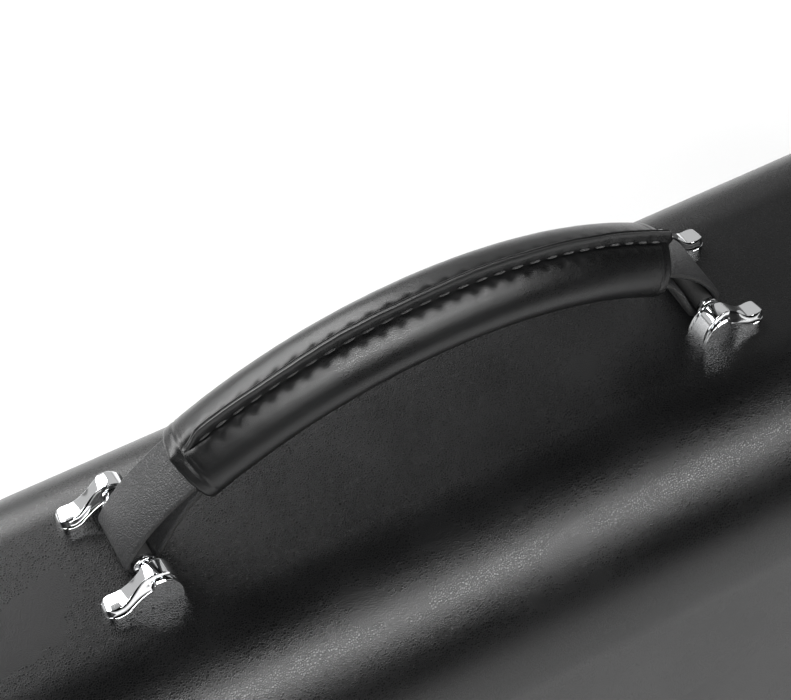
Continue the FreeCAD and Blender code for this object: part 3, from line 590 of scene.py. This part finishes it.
def make_grip_sleeve():
    """Leather sleeve of the grip: turned-in ends, a fold along the welt, puckers at the stitches."""
    bm = bmesh.new()
    centre, outward, _ = grip_frame(0)
    ring = [bm.verts.new(centre + Vector((0, p.x, 0)) + outward * p.y) for p in grip_section()]
    edges = [bm.edges.new((ring[i], ring[(i + 1) % len(ring)])) for i in range(len(ring))]
    bmesh.ops.rotate(bm, cent=GRIP_CENTRE, matrix=Matrix.Rotation(-GRIP_HALF_ANGLE, 3, "Y"), verts=ring)
    bmesh.ops.spin(bm, geom=ring + edges, cent=GRIP_CENTRE, axis=(0, 1, 0), dvec=(0, 0, 0),
                   angle=2 * GRIP_HALF_ANGLE, steps=320, use_merge=False, use_duplicate=False)
    half_run = GRIP_HALF_ANGLE * GRIP_ARC
    for vert in bm.verts:
        offset = vert.co - GRIP_CENTRE
        angle = math.atan2(offset.x, offset.z)
        centre, outward, _ = grip_frame(angle)
        out = math.hypot(offset.x, offset.z) - GRIP_ARC
        run = angle * GRIP_ARC
        drop = grip_crease(offset.y, out, run, half_run - abs(run))
        scale = max(0.05, 1 - drop / max(2 * MM, math.hypot(offset.y, out)))
        vert.co = centre + Vector((0, offset.y * scale, 0)) + outward * out * scale
    inward = bmesh.ops.extrude_edge_only(bm, edges=[e for e in bm.edges if e.is_boundary])
    for vert in inward["geom"]:
        if isinstance(vert, bmesh.types.BMVert):
            end = math.copysign(1, vert.co.x)
            centre, outward, along = grip_frame(end * GRIP_HALF_ANGLE)
            vert.co = centre + (vert.co - centre) * 0.8 - along * end * 1.6 * MM
    close_ends(bm)
    lean_forward(bm)
    finish_piece("grip_sleeve", bm, GRIP_LEATHER, "handle", ["grip_cover", "grip_core"],
                 70)


def make_grip_welt():
    """Standing seam along the top of the grip: two plies closed together, with a rolled top edge."""
    left = -GRIP_HALF_ANGLE + 3.6 * MM / GRIP_ARC
    right = GRIP_HALF_ANGLE + 0.6 * MM / GRIP_ARC
    low = GRIP_HALF_HEIGHT - 1.6 * MM
    high = GRIP_HALF_HEIGHT + FIN_HEIGHT
    section = [(-0.95, low), (-0.85, high - 1.2 * MM), (-0.72, high - 0.4 * MM), (-0.42, high),
               (-0.12, high - 0.03 * MM), (0.0, high - 0.15 * MM), (0.12, high - 0.03 * MM),
               (0.42, high), (0.72, high - 0.4 * MM), (0.85, high - 1.2 * MM), (0.95, low)]
    bm = bmesh.new()
    centre, outward, _ = grip_frame(0)
    ring = [bm.verts.new(centre + Vector((0, y * MM, 0)) + outward * out) for y, out in section]
    edges = [bm.edges.new((ring[i], ring[(i + 1) % len(ring)])) for i in range(len(ring))]
    bmesh.ops.rotate(bm, cent=GRIP_CENTRE, matrix=Matrix.Rotation(left, 3, "Y"), verts=ring)
    bmesh.ops.spin(bm, geom=ring + edges, cent=GRIP_CENTRE, axis=(0, 1, 0), dvec=(0, 0, 0),
                   angle=right - left, steps=320, use_merge=False, use_duplicate=False)
    close_ends(bm)
    for vert in bm.verts:
        offset = vert.co - GRIP_CENTRE
        angle = math.atan2(offset.x, offset.z)
        centre, outward, _ = grip_frame(angle)
        out = math.hypot(offset.x, offset.z) - GRIP_ARC
        run = angle * GRIP_ARC
        height = smooth_step((out - low) / (high - low))
        start = smooth_step((angle - left) * GRIP_ARC / (7 * MM))
        finish = smooth_step((right - angle) * GRIP_ARC / (2.5 * MM))
        lift = (out - low) * (0.28 + 0.72 * start) * (0.6 + 0.4 * finish)
        wave = noise.noise(Vector((run * 70, 3.1, 0.4))) * 0.35 * MM * height
        wave += noise.noise(Vector((run * 300, 7.7, 1.9))) * 0.1 * MM * height
        pinch = 0.18 * MM * (0.5 + 0.5 * math.cos(2 * math.pi * run / STITCH_PITCH)) * (1 - height)
        across = offset.y - math.copysign(pinch, offset.y) + wave + FIN_PLACE
        vert.co = centre + Vector((0, across, 0)) + outward * (low + lift)
    lean_forward(bm)
    finish_piece("grip_welt_fin", bm, GRIP_LEATHER, "handle", ["grip_welt"], 50)


def make_grip_thread():
    """Stitches of the welt: short threads let into both sides at its foot."""
    bm = bmesh.new()
    count = int((2 * GRIP_HALF_ANGLE * GRIP_ARC - 14 * MM) / STITCH_PITCH)
    for step in range(count + 1):
        run = (step - count / 2) * STITCH_PITCH
        centre, outward, along = grip_frame(run / GRIP_ARC)
        for side in (-1, 1):
            made = bmesh.ops.create_uvsphere(bm, u_segments=8, v_segments=6, radius=0.3 * MM)
            bmesh.ops.scale(bm, vec=(5.4, 1, 1), verts=made["verts"])
            turn = Matrix((along, Vector((0, 1, 0)), outward)).transposed()
            place = centre + outward * GRIP_HALF_HEIGHT + Vector((0, FIN_PLACE + side * 0.98 * MM, 0))
            bmesh.ops.rotate(bm, cent=(0, 0, 0), matrix=turn, verts=made["verts"])
            bmesh.ops.translate(bm, vec=place + along * STITCH_PITCH / 2, verts=made["verts"])
    lean_forward(bm)
    finish_piece("grip_stitches", bm, THREAD, "handle", (), 0)


def curve_between(start, leaving, end, arriving, count):
    """Points of a smooth curve from a start to an end, with the ways it leaves and arrives."""
    made = []
    for step in range(count + 1):
        t = step / count
        made.append(start * (1 - t) ** 3 + (start + leaving) * 3 * t * (1 - t) ** 2
                    + (end - arriving) * 3 * t * t * (1 - t) + end * t ** 3)
    return made


def strap_path(side):
    """Middle line of the strap's outer ply and of its return, from the grip round the pin and back."""
    pin = Vector((PIN_X, 0, PIN_Z - 0.45 * MM))
    rise = GRIP_CENTRE.z + GRIP_ARC * math.cos(GRIP_HALF_ANGLE) - PIN_Z
    end = Vector((GRIP_ARC * math.sin(GRIP_HALF_ANGLE), 0, PIN_Z + rise * math.cos(LEAN)))
    away = Vector((math.cos(GRIP_HALF_ANGLE), 0, -math.sin(GRIP_HALF_ANGLE)))
    normal = Vector((math.sin(GRIP_HALF_ANGLE), 0, math.cos(GRIP_HALF_ANGLE)))

    def on_pin(degrees):
        turn = math.radians(degrees)
        place = pin + Vector((math.cos(turn), 0, math.sin(turn))) * LOOP_R
        return place, Vector((math.sin(turn), 0, -math.cos(turn)))

    first, first_way = on_pin(22)
    last, last_way = on_pin(-150)
    points = [end + normal * 1.5 * MM - away * 9 * MM]
    points += curve_between(end + normal * 1.5 * MM, away * 11 * MM, first, first_way * 9 * MM, 7)
    points += [on_pin(22 - 172 * step / 15)[0] for step in range(1, 15)]
    points += curve_between(last, last_way * 7 * MM, end - normal * 1.9 * MM, away * -9 * MM, 7)
    points.append(end - normal * 1.9 * MM - away * 9 * MM)
    return [Vector((side * p.x, HANDLE_Y - math.tan(LEAN) * (p.z - PIN_Z), p.z)) for p in points]


def sweep_band(bm, line, half_width, thick, bevel):
    """Flat band of leather along a line, with bevelled edges."""
    rows = []
    for index, point in enumerate(line):
        before = line[max(0, index - 1)]
        after = line[min(len(line) - 1, index + 1)]
        along = (after - before).normalized()
        normal = Vector((0, 1, 0)).cross(along).normalized()
        half = thick / 2
        wide = half_width
        corners = [(-wide, -half + bevel), (-wide + bevel, -half), (wide - bevel, -half),
                   (wide, -half + bevel), (wide, half - bevel), (wide - bevel, half),
                   (-wide + bevel, half), (-wide, half - bevel)]
        rows.append([point + Vector((0, y, 0)) + normal * n for y, n in corners])
    loft(bm, rows)
    close_ends(bm)


def make_strap():
    """The strap's two loops, with bevelled edges and a raw line where its plies meet."""
    leather_part, core_line = bmesh.new(), bmesh.new()
    for side in (-1, 1):
        line = smooth_line(strap_path(side), 6)
        sweep_band(leather_part, line, STRAP_HALF, STRAP_T, STRAP_EDGE_R)
        sweep_band(core_line, line, STRAP_HALF + 0.04 * MM, 0.22 * MM, 0.05 * MM)
    finish_piece("strap_loops", leather_part, STRAP_LEATHER_PAINTED_SHEEN, "handle", ["handle_strap"],
                 50)
    finish_piece("strap_ply_line", core_line, RAW_EDGE, "handle", (), 50)


def lug_height(u):
    """Height of a lug's crown from its toe (0) to the grip side of its hub (1)."""
    if u < 0.7:
        return LUG_TOE + (LUG_HUB - LUG_TOE) * smooth_step((u - 0.2) / 0.5)
    turn = (u - 0.7) / 0.3
    return LUG_HUB * math.sqrt(max(0.0, 1 - 0.93 * turn ** 2.6))


def lug_half_width(u):
    """Half width of a lug at its foot."""
    tip = math.sqrt(max(0.0, 1 - (1 - min(1.0, u / 0.17)) ** 2.4))
    waist = 1 - 0.13 * math.exp(-((u - 0.46) / 0.17) ** 2)
    return LUG_HALF_WIDTH * waist * (0.25 + 0.75 * tip)


def lug_drop(u, v, height):
    """How far a lug's surface lies below its crown: flank, raised rim and hub groove."""
    wide = abs(v)
    hub = smooth_step((u - 0.6) / 0.08)
    crown = 0.64 - 0.2 * math.exp(-((u - 0.5) / 0.17) ** 2) - 0.06 * hub
    slope = min(0.66 * height, 0.9 * MM + 0.3 * height)
    flank = max(0.0, min(1.0, (wide - crown) / (0.93 - crown)))
    flank = flank - 0.05 * math.sin(2 * math.pi * flank)
    rim = math.exp(-(((wide - 0.955) / 0.03) ** 2)) * 0.14 * MM
    groove = math.exp(-(((wide - 0.72) / 0.04) ** 2)) * hub * 0.5 * MM
    flange = smooth_step((wide - 0.74) / 0.05) * hub * 0.55 * slope
    return 0.2 * MM * v * v + slope * flank + groove - flange * flank - rim


def make_lug(name, side):
    """Chrome lug: rounded toe, waisted crown tilted to the back, and a grooved hub."""
    low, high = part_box(name)
    length = high.x - low.x
    middle = (low.y + high.y) / 2
    toe_x = high.x if side > 0 else low.x
    bm = bmesh.new()
    made = bmesh.ops.create_grid(bm, x_segments=130, y_segments=72, size=0.5)
    for vert in made["verts"]:
        u = vert.co.x + 0.5
        v = vert.co.y * 2
        height = lug_height(u)
        tip = max(0.0, 1 - u / 0.09)
        round_tip = 1.5 * MM * (1 - math.sqrt(max(0.0, 1 - tip * tip)))
        z = max(0.7 * MM, height - lug_drop(u, v, height) - round_tip - LUG_TILT * v)
        vert.co = Vector((toe_x - side * u * length, middle + v * lug_half_width(u), TOP + z))
    rim = [e for e in bm.edges if e.is_boundary]
    down = bmesh.ops.extrude_edge_only(bm, edges=rim)
    for vert in down["geom"]:
        if isinstance(vert, bmesh.types.BMVert):
            vert.co.z = TOP
    close_ends(bm)
    finish_piece(name + "_shaped", bm, CHROME, "base", [name], 40)


def make_pin_collars():
    """Polished rings on the pins, between the lugs and the strap."""
    bm = bmesh.new()
    for side in (-1, 1):
        for row in (-1, 1):
            made = bmesh.ops.create_cone(bm, cap_ends=True, segments=40, radius1=2.9 * MM,
                                         radius2=2.9 * MM, depth=1.0 * MM)
            bmesh.ops.rotate(bm, cent=(0, 0, 0), matrix=Matrix.Rotation(math.pi / 2, 3, "X"),
                             verts=made["verts"])
            y = HANDLE_Y + row * (STRAP_HALF + 1.3 * MM)
            bmesh.ops.translate(bm, vec=(side * PIN_X, y, PIN_Z), verts=made["verts"])
    rims = [e for e in bm.edges if len(e.link_faces) == 2 and e.calc_face_angle(0) > 1.2]
    bevel_edges(bm, rims, 0.35 * MM, 4)
    finish_piece("pin_collars", bm, CHROME, "base", (), 40)


make_case_skins()
make_grip_sleeve()
make_grip_welt()
make_grip_thread()
make_strap()
for end, side in (("left", -1), ("right", 1)):
    make_lug("handle_lug_front_" + end, side)
    make_lug("handle_lug_back_" + end, side)
make_pin_collars()

# ---------------------------------------------------------------- the lining and the bed

BED_Y = SEAM - 27 * MM
TAIL = -HALF_LENGTH + 28 * MM
BODY_LENGTH = 366 * MM
NECK_LENGTH = 240 * MM
WELL_R = (110 * MM, 90 * MM)
WELL_X = (TAIL + WELL_R[0], TAIL + BODY_LENGTH - WELL_R[1])
WAIST = 62 * MM
NECK = 32 * MM
SCROLL_X = TAIL + BODY_LENGTH + NECK_LENGTH - NECK
TRAY_X = (HALF_LENGTH - 141 * MM, HALF_LENGTH - 23 * MM)
TRAY_HEIGHTS = ((-22, 22), (30, 100), (-100, -30))
QUILT_PITCH = 58 * MM
QUILT_SEAM = 4.5 * MM
QUILT_DEPTH = 1.5 * MM
CORNERS = ((1, 1, 0), (-1, 1, 90), (-1, -1, 180), (1, -1, 270))
NECK_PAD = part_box("neck_cradle")
BOX_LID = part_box("accessory_lid")
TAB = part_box("neck_tab")


def round_box(half_x, half_z, corner, count):
    """Rectangle with round corners about the origin, as (x, z)."""
    line = []
    for side_x, side_z, start in CORNERS:
        centre = (side_x * (half_x - corner), side_z * (half_z - corner))
        line += arc_points(centre, corner, start, start + 90, count)
    return line


def plain_form(node_name):
    """Copy of a soft part's plain form."""
    bm = bmesh.new()
    bm.from_mesh(frame["nodes"][node_name].data)
    bmesh.ops.remove_doubles(bm, verts=bm.verts, dist=1e-6)
    return bm


def even_form(bm, size):
    """The same form in small even faces."""
    held = link_form("even_form", bm)
    bm.free()
    add_modifier(held, "REMESH", mode="VOXEL", voxel_size=size)
    made = bmesh.new()
    made.from_object(held, bpy.context.evaluated_depsgraph_get())
    bpy.data.objects.remove(held)
    return made


def relax(bm, rounds, low, high):
    """Soften the edges of a form and keep it inside its space."""
    for _ in range(rounds):
        bmesh.ops.smooth_vert(bm, verts=bm.verts, factor=0.5, use_axis_x=True, use_axis_y=True,
                              use_axis_z=True)
    for vert in bm.verts:
        vert.co = Vector(min(max(c, a), b) for c, a, b in zip(vert.co, low, high))


def swell(bm, pressure, cap):
    held = link_form("swelling", bm)
    cloth = held.modifiers.new("cloth", "CLOTH")
    cloth.settings.use_pressure = True
    cloth.settings.uniform_pressure_force = pressure
    cloth.settings.effector_weights.gravity = 0.0
    for moment in range(1, 21):
        bpy.context.scene.frame_set(moment)
    swollen = held.evaluated_get(bpy.context.evaluated_depsgraph_get()).data
    bm.verts.ensure_lookup_table()
    for vert, after in zip(bm.verts, swollen.vertices):
        shift = after.co - vert.co
        vert.co += shift * min(1.0, cap / max(shift.length, 1e-9))
    bpy.context.scene.frame_set(1)
    bpy.data.objects.remove(held)


def make_bed():
    """Plush-covered foam bed, softened at every lip."""
    low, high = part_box("suspension_bed")
    bm = even_form(plain_form("suspension_bed"), 4 * MM)
    relax(bm, 5, low, high)
    for vert in bm.verts:
        if vert.co.y > BED_Y - 1 * MM:
            wave = math.sin(vert.co.x / (31 * MM)) * math.sin(vert.co.z / (23 * MM))
            vert.co.y -= 0.35 * MM * (1 + wave)
    piece = finish_piece("plush_bed", bm, PLUSH, "base", ["suspension_bed"], 0)


def cord_round(bm, path, y, radius):
    """Closed cord of piping round an outline given as (x, z)."""
    rings = []
    total = len(path)
    for index in range(total + 1):
        x, z = path[index % total]
        before, after = path[(index - 1) % total], path[(index + 1) % total]
        side = Vector((after[1] - before[1], 0, before[0] - after[0])).normalized()
        ring = []
        for step in range(8):
            turn = math.tau * step / 8
            ring.append(Vector((x, y, z)) + side * math.cos(turn) * radius
                        + Vector((0, math.sin(turn) * radius, 0)))
        rings.append(ring)
    loft(bm, rings)
    bmesh.ops.remove_doubles(bm, verts=bm.verts, dist=1e-7)


def well_line():
    """Outline of the violin's place as (x, z), clockwise from the tail."""
    cuts = [math.degrees(math.asin(WAIST / radius)) for radius in WELL_R]
    neck_cut = math.degrees(math.asin(NECK / WELL_R[1]))
    upper = arc_points((WELL_X[0], 0), WELL_R[0], 180, cuts[0], 40)
    upper += arc_points((WELL_X[1], 0), WELL_R[1], 180 - cuts[1], neck_cut, 32)
    neck_start = WELL_X[1] + WELL_R[1] * math.cos(math.radians(neck_cut))
    upper += [(neck_start + (SCROLL_X - neck_start) * step / 24, NECK) for step in range(1, 24)]
    upper += arc_points((SCROLL_X, 0), NECK, 90, 0, 12)
    return [(x, MIDDLE + z) for x, z in upper] + [(x, MIDDLE - z) for x, z in upper[-2:0:-1]]


def tray_line(low, high):
    """Outline of a tray as (x, z) with small round corners."""
    across, up = (TRAY_X[0] + TRAY_X[1]) / 2, (low + high) / 2
    line = round_box((TRAY_X[1] - TRAY_X[0]) / 2, (high - low) / 2, 3 * MM, 5)
    return [(across + x, up + z) for x, z in line]


def make_bed_piping():
    """Cord sewn round the lip of the violin's place and of each tray."""
    bm = bmesh.new()
    cord_round(bm, well_line(), BED_Y - 1.3 * MM, 1.2 * MM)
    for low, high in TRAY_HEIGHTS:
        cord_round(bm, tray_line(MIDDLE + low * MM, MIDDLE + high * MM), BED_Y - 1.5 * MM, 1.1 * MM)
    finish_piece("bed_lip_piping", bm, RIBBON, "base", (), 0)


def make_wall_lining():
    """Padded plush on the base's walls, rolled over at the mouth."""
    low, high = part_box("base_lining")
    wide = (high.z - low.z) / 2
    lean = 14.5 * MM
    profile = [(low.y, 0.0), (low.y + 11.5 * MM, 0.0)]
    profile += [(low.y + (11.5 + 14 * t) * MM, t) for t in (0.5, 0.97, 1.0)]
    outer = [(y, t, 0.3 * MM if y < high.y - 1 * MM else 0.6 * MM) for y, t in profile]
    inner = [(min(y, high.y - 0.5 * MM), t, 1.6 * MM if 0 < t < 1 else 1.3 * MM)
             for y, t in profile[::-1]]
    rings = []
    for y, t, inset in outer + inner:
        ring = round_box(high.x - inset, wide - inset - t * lean, 9 * MM, 6)
        rings.append([(x, y, MIDDLE + z) for x, z in ring])
    rings.append(rings[0])
    bm = bmesh.new()
    loft(bm, rings)
    piece = finish_piece("wall_lining", bm, PLUSH, "base", ["base_lining"], 50, 1e-6)


def make_lid_lining():
    """Quilted plush inside the lid, sewn in diamonds."""
    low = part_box("lid_lining")[0]
    bm = bmesh.new()
    long_form(bm, lid_outline, LID_WALL + 0.1 * MM, 230)
    cut_at(bm, low.y, clear_inner=True)
    for vert in bm.verts:
        x, y, z = vert.co
        if y < low.y + 8 * MM:
            continue
        seam = 0.0
        for along in (x + (z - MIDDLE), x - (z - MIDDLE)):
            off = (along / QUILT_PITCH + 0.5) % 1 - 0.5
            seam = max(seam, math.exp(-(off * QUILT_PITCH / QUILT_SEAM) ** 2))
        vert.co.y -= (1 - seam) * QUILT_DEPTH
    piece = finish_piece("lid_quilt", bm, PLUSH, "lid", ["lid_lining"], 0)
    add_modifier(piece, "SOLIDIFY", thickness=1.5 * MM, offset=-1)


def make_neck_pad():
    """Padded saddle under the violin's neck."""
    low, high = NECK_PAD
    bm = even_form(plain_form("neck_cradle"), 2.5 * MM)
    relax(bm, 3, low, high)
    swell(bm, 3.0, 0.8 * MM)
    relax(bm, 1, low, high)
    piece = finish_piece("neck_saddle", bm, PLUSH, "base", ["neck_cradle"], 0)


def make_box_lid():
    """Crowned pad on the rosin box's lid, with a ribbon pull."""
    low, high = BOX_LID
    bm = bmesh.new()
    rings = []
    length, wide = high.x - low.x, high.z - low.z
    middle = (low + high) / 2
    profile = ((1.2, 0.0), (0.3, 0.35), (0.0, 1.1), (0.5, 2.0), (2.5, 2.55), (7.0, 2.85), (14.0, 3.0))
    for inset, y in profile:
        corner = max(0.6, 3.0 - inset) * MM
        line = round_box(length / 2 - inset * MM, wide / 2 - inset * MM, corner, 6)
        rings.append([(middle.x + x, low.y + y * MM, middle.z + z) for x, z in line])
    loft(bm, rings)
    close_ends(bm)
    piece = finish_piece("rosin_box_pad", bm, PLUSH, "accessory_lid", ["accessory_lid"], 30)
    pull = bmesh.new()
    line = []
    for step in range(9):
        rise = 2.2 * MM * math.sin(math.pi * step / 8) - 0.5 * MM
        line.append(Vector((middle.x, high.y + rise, low.z + (9 - step) * MM)))
    ribbon_strip(pull, line, 6 * MM, 0.6 * MM)
    finish_piece("rosin_box_pull", pull, RIBBON, "accessory_lid", (), 40)


def ribbon_strip(bm, line, half_width, thick):
    """Flat ribbon along a line that stays in one plane across x."""
    rows = []
    for index, point in enumerate(line):
        along = (line[min(len(line) - 1, index + 1)] - line[max(0, index - 1)]).normalized()
        normal = Vector((1, 0, 0)).cross(along).normalized() * thick / 2
        across = Vector((half_width, 0, 0))
        rows.append([point - across - normal, point + across - normal, point + across + normal,
                     point - across + normal])
    loft(bm, rows)
    close_ends(bm)


def make_neck_ribbons():
    """The neck tab's two ribbons and the sewn fold that holds the upper one."""
    section = ((-1, 0.3), (-0.97, 0.0), (0.97, 0.0), (1, 0.3), (1, 0.75), (0.97, 1.0), (0.86, 0.9),
               (0.8, 1.0), (-0.8, 1.0), (-0.86, 0.9), (-0.97, 1.0), (-1, 0.75))
    plans = (("neck_ribbon_upper", "neck_tab", "neck_tab"),
             ("neck_ribbon_lower", "neck_tab_catch", "base"),
             ("neck_ribbon_fold", "neck_tab_anchor", "base"))
    for name, solid, body in plans:
        low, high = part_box(solid)
        middle = (low.x + high.x) / 2
        half = (high.x - low.x) / 2
        bm = bmesh.new()
        rings = []
        count = 24
        for step in range(count + 1):
            z = low.z + (high.z - low.z) * step / count
            tail = min(1.0, (z - low.z) / (5 * MM)) if solid == "neck_tab" else 1.0
            wide = half * (1 - 0.2 * (1 - math.sqrt(max(0.0, 1 - (1 - tail) ** 2))))
            ring = []
            for across, y in section:
                ring.append((middle + wide * across, low.y + (high.y - low.y) * y, z))
            rings.append(ring)
        loft(bm, rings)
        close_ends(bm)
        finish_piece(name, bm, RIBBON, body, [solid], 40)


def make_bow_pads():
    """Plush saddles that hold the bows in the lid."""
    for end in ("frog", "tip"):
        for row in ("lower", "upper"):
            solid = "bow_" + end + "_holder_" + row
            low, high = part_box(solid)
            bm = even_form(plain_form(solid), 1.2 * MM)
            relax(bm, 3, low, high)
            piece = finish_piece("bow_" + end + "_saddle_" + row, bm, PLUSH, "lid", [solid], 0)


make_bed()
make_bed_piping()
make_wall_lining()
make_lid_lining()
make_neck_pad()
make_box_lid()
make_neck_ribbons()
make_bow_pads()


def make_pin_shade_sleeves():
    """Black sleeve on each pin inside its strap loop, a dark piece put in to paint the shade that fills
    the loop's opening.
    """
    bm = bmesh.new()
    profile = ((-7.6, 2.05), (-7.6, 2.35), (-7.4, 2.5), (7.4, 2.5), (7.6, 2.35), (7.6, 2.05),
               (-7.6, 2.05))
    for side in (-1, 1):
        rings = []
        for y, radius in profile:
            ring = []
            for step in range(32):
                turn = math.tau * step / 32
                ring.append((side * PIN_X + radius * MM * math.cos(turn), HANDLE_Y + y * MM,
                             PIN_Z + radius * MM * math.sin(turn)))
            rings.append(ring)
        loft(bm, rings)
    finish_piece("pin_shade_sleeves", bm, RUBBER, "base", (), 40, 1e-6)


make_pin_shade_sleeves()

FINISHES = {
    "shell_board": BOARD, "leather_cloth": CASE_LEATHER, "binding": PIPING, "plush": PLUSH,
    "bed_plush": PLUSH, "ribbon": RIBBON, "foot_rubber": RUBBER, "screw_steel": STEEL,
    "hardware_chrome": CHROME, "handle_chrome": CHROME, "backing_steel": STEEL,
    "strap_leather": STRAP_LEATHER_PAINTED_SHEEN, "grip_leather": GRIP_LEATHER, "grip_foam": RUBBER,
    "spinner_brass": BRASS,
}


def finish_frame_nodes():
    """Give every carried-over node the finish of its slot."""
    for part in frame["record"]["subparts"]:
        mesh = frame["nodes"][part["node"]].data
        mesh.materials.clear()
        mesh.materials.append(FINISHES[part["material_slot"]])


finish_frame_nodes()


# ---------------------------------------------------------------- studio


def make_floor():
    """Plain pale floor under the case."""
    bm = bmesh.new()
    bmesh.ops.create_grid(bm, x_segments=1, y_segments=1, size=6.0)
    floor = link_form("studio_floor", bm)
    bm.free()
    paper = new_material("floor_paper", Base_Color=(0.9, 0.9, 0.9, 1), Roughness=0.9,
                         Specular_IOR_Level=0.1)[0]
    floor.data.materials.append(paper)


def make_softbox(name, direction, distance, width, height, power):
    """Rectangular soft light facing the handle."""
    target = Vector((0, HANDLE_Y, TOP))
    direction = Vector(direction).normalized()
    light = bpy.data.lights.new(name, "AREA")
    light.shape = "RECTANGLE"
    light.size = width
    light.size_y = height
    light.energy = power
    lamp = bpy.data.objects.new(name, light)
    lamp.location = target + direction * distance
    lamp.rotation_euler = direction.to_track_quat("Z", "Y").to_euler()
    bpy.context.scene.collection.objects.link(lamp)


def make_camera():
    """Camera above and in front of the handle, looking down at it."""
    azimuth, elevation, roll = math.radians(27.893), math.radians(53.438), math.radians(0.788)
    forward = Vector((math.sin(azimuth) * math.cos(elevation), math.cos(azimuth) * math.cos(elevation),
                      -math.sin(elevation)))
    level = forward.cross(Vector((0, 0, 1))).normalized()
    down = forward.cross(level)
    right = level * math.cos(roll) + down * math.sin(roll)
    up = level * math.sin(roll) - down * math.cos(roll)
    turn = Matrix((right, up, -forward)).transposed().to_4x4()
    camera = bpy.data.cameras.new("camera")
    camera.sensor_width = 36.0
    camera.lens = LENS
    eye = Vector((0, HANDLE_Y, TOP)) + EYE
    stand = bpy.data.objects.new("camera", camera)
    stand.matrix_world = Matrix.Translation(eye) @ turn
    bpy.context.scene.collection.objects.link(stand)
    bpy.context.scene.camera = stand


def light_studio():
    """Two softboxes with a dark gap overhead, and a faint fill."""
    make_softbox("front_softbox", (0.05, -0.69, 0.72), 1.6, 2.0, 0.32, 31.0)
    make_softbox("back_softbox", (-0.46, 0.68, 0.58), 1.9, 3.2, 1.15, 84.0)
    world = bpy.data.worlds.new("studio")
    world.use_nodes = True
    tree = world.node_tree
    way = node(tree, "TexCoord").outputs["Generated"]
    parts = node(tree, "SeparateXYZ", [(0, way)])
    behind = remap(tree, parts.outputs["Y"], -0.1, 0.35)
    low = remap(tree, parts.outputs["Z"], 0.7, 0.86, 1.0, 0.0)
    sweep = maths(tree, "MULTIPLY", behind, low)
    tree.links.new(remap(tree, sweep, 0.0, 1.0, 0.0, 0.55), tree.nodes["Background"].inputs["Strength"])
    tree.nodes["Background"].inputs["Color"].default_value = (1, 1, 1, 1)
    bpy.context.scene.world = world
    bpy.context.scene.view_settings.view_transform = "Standard"


make_floor()
make_camera()
light_studio()
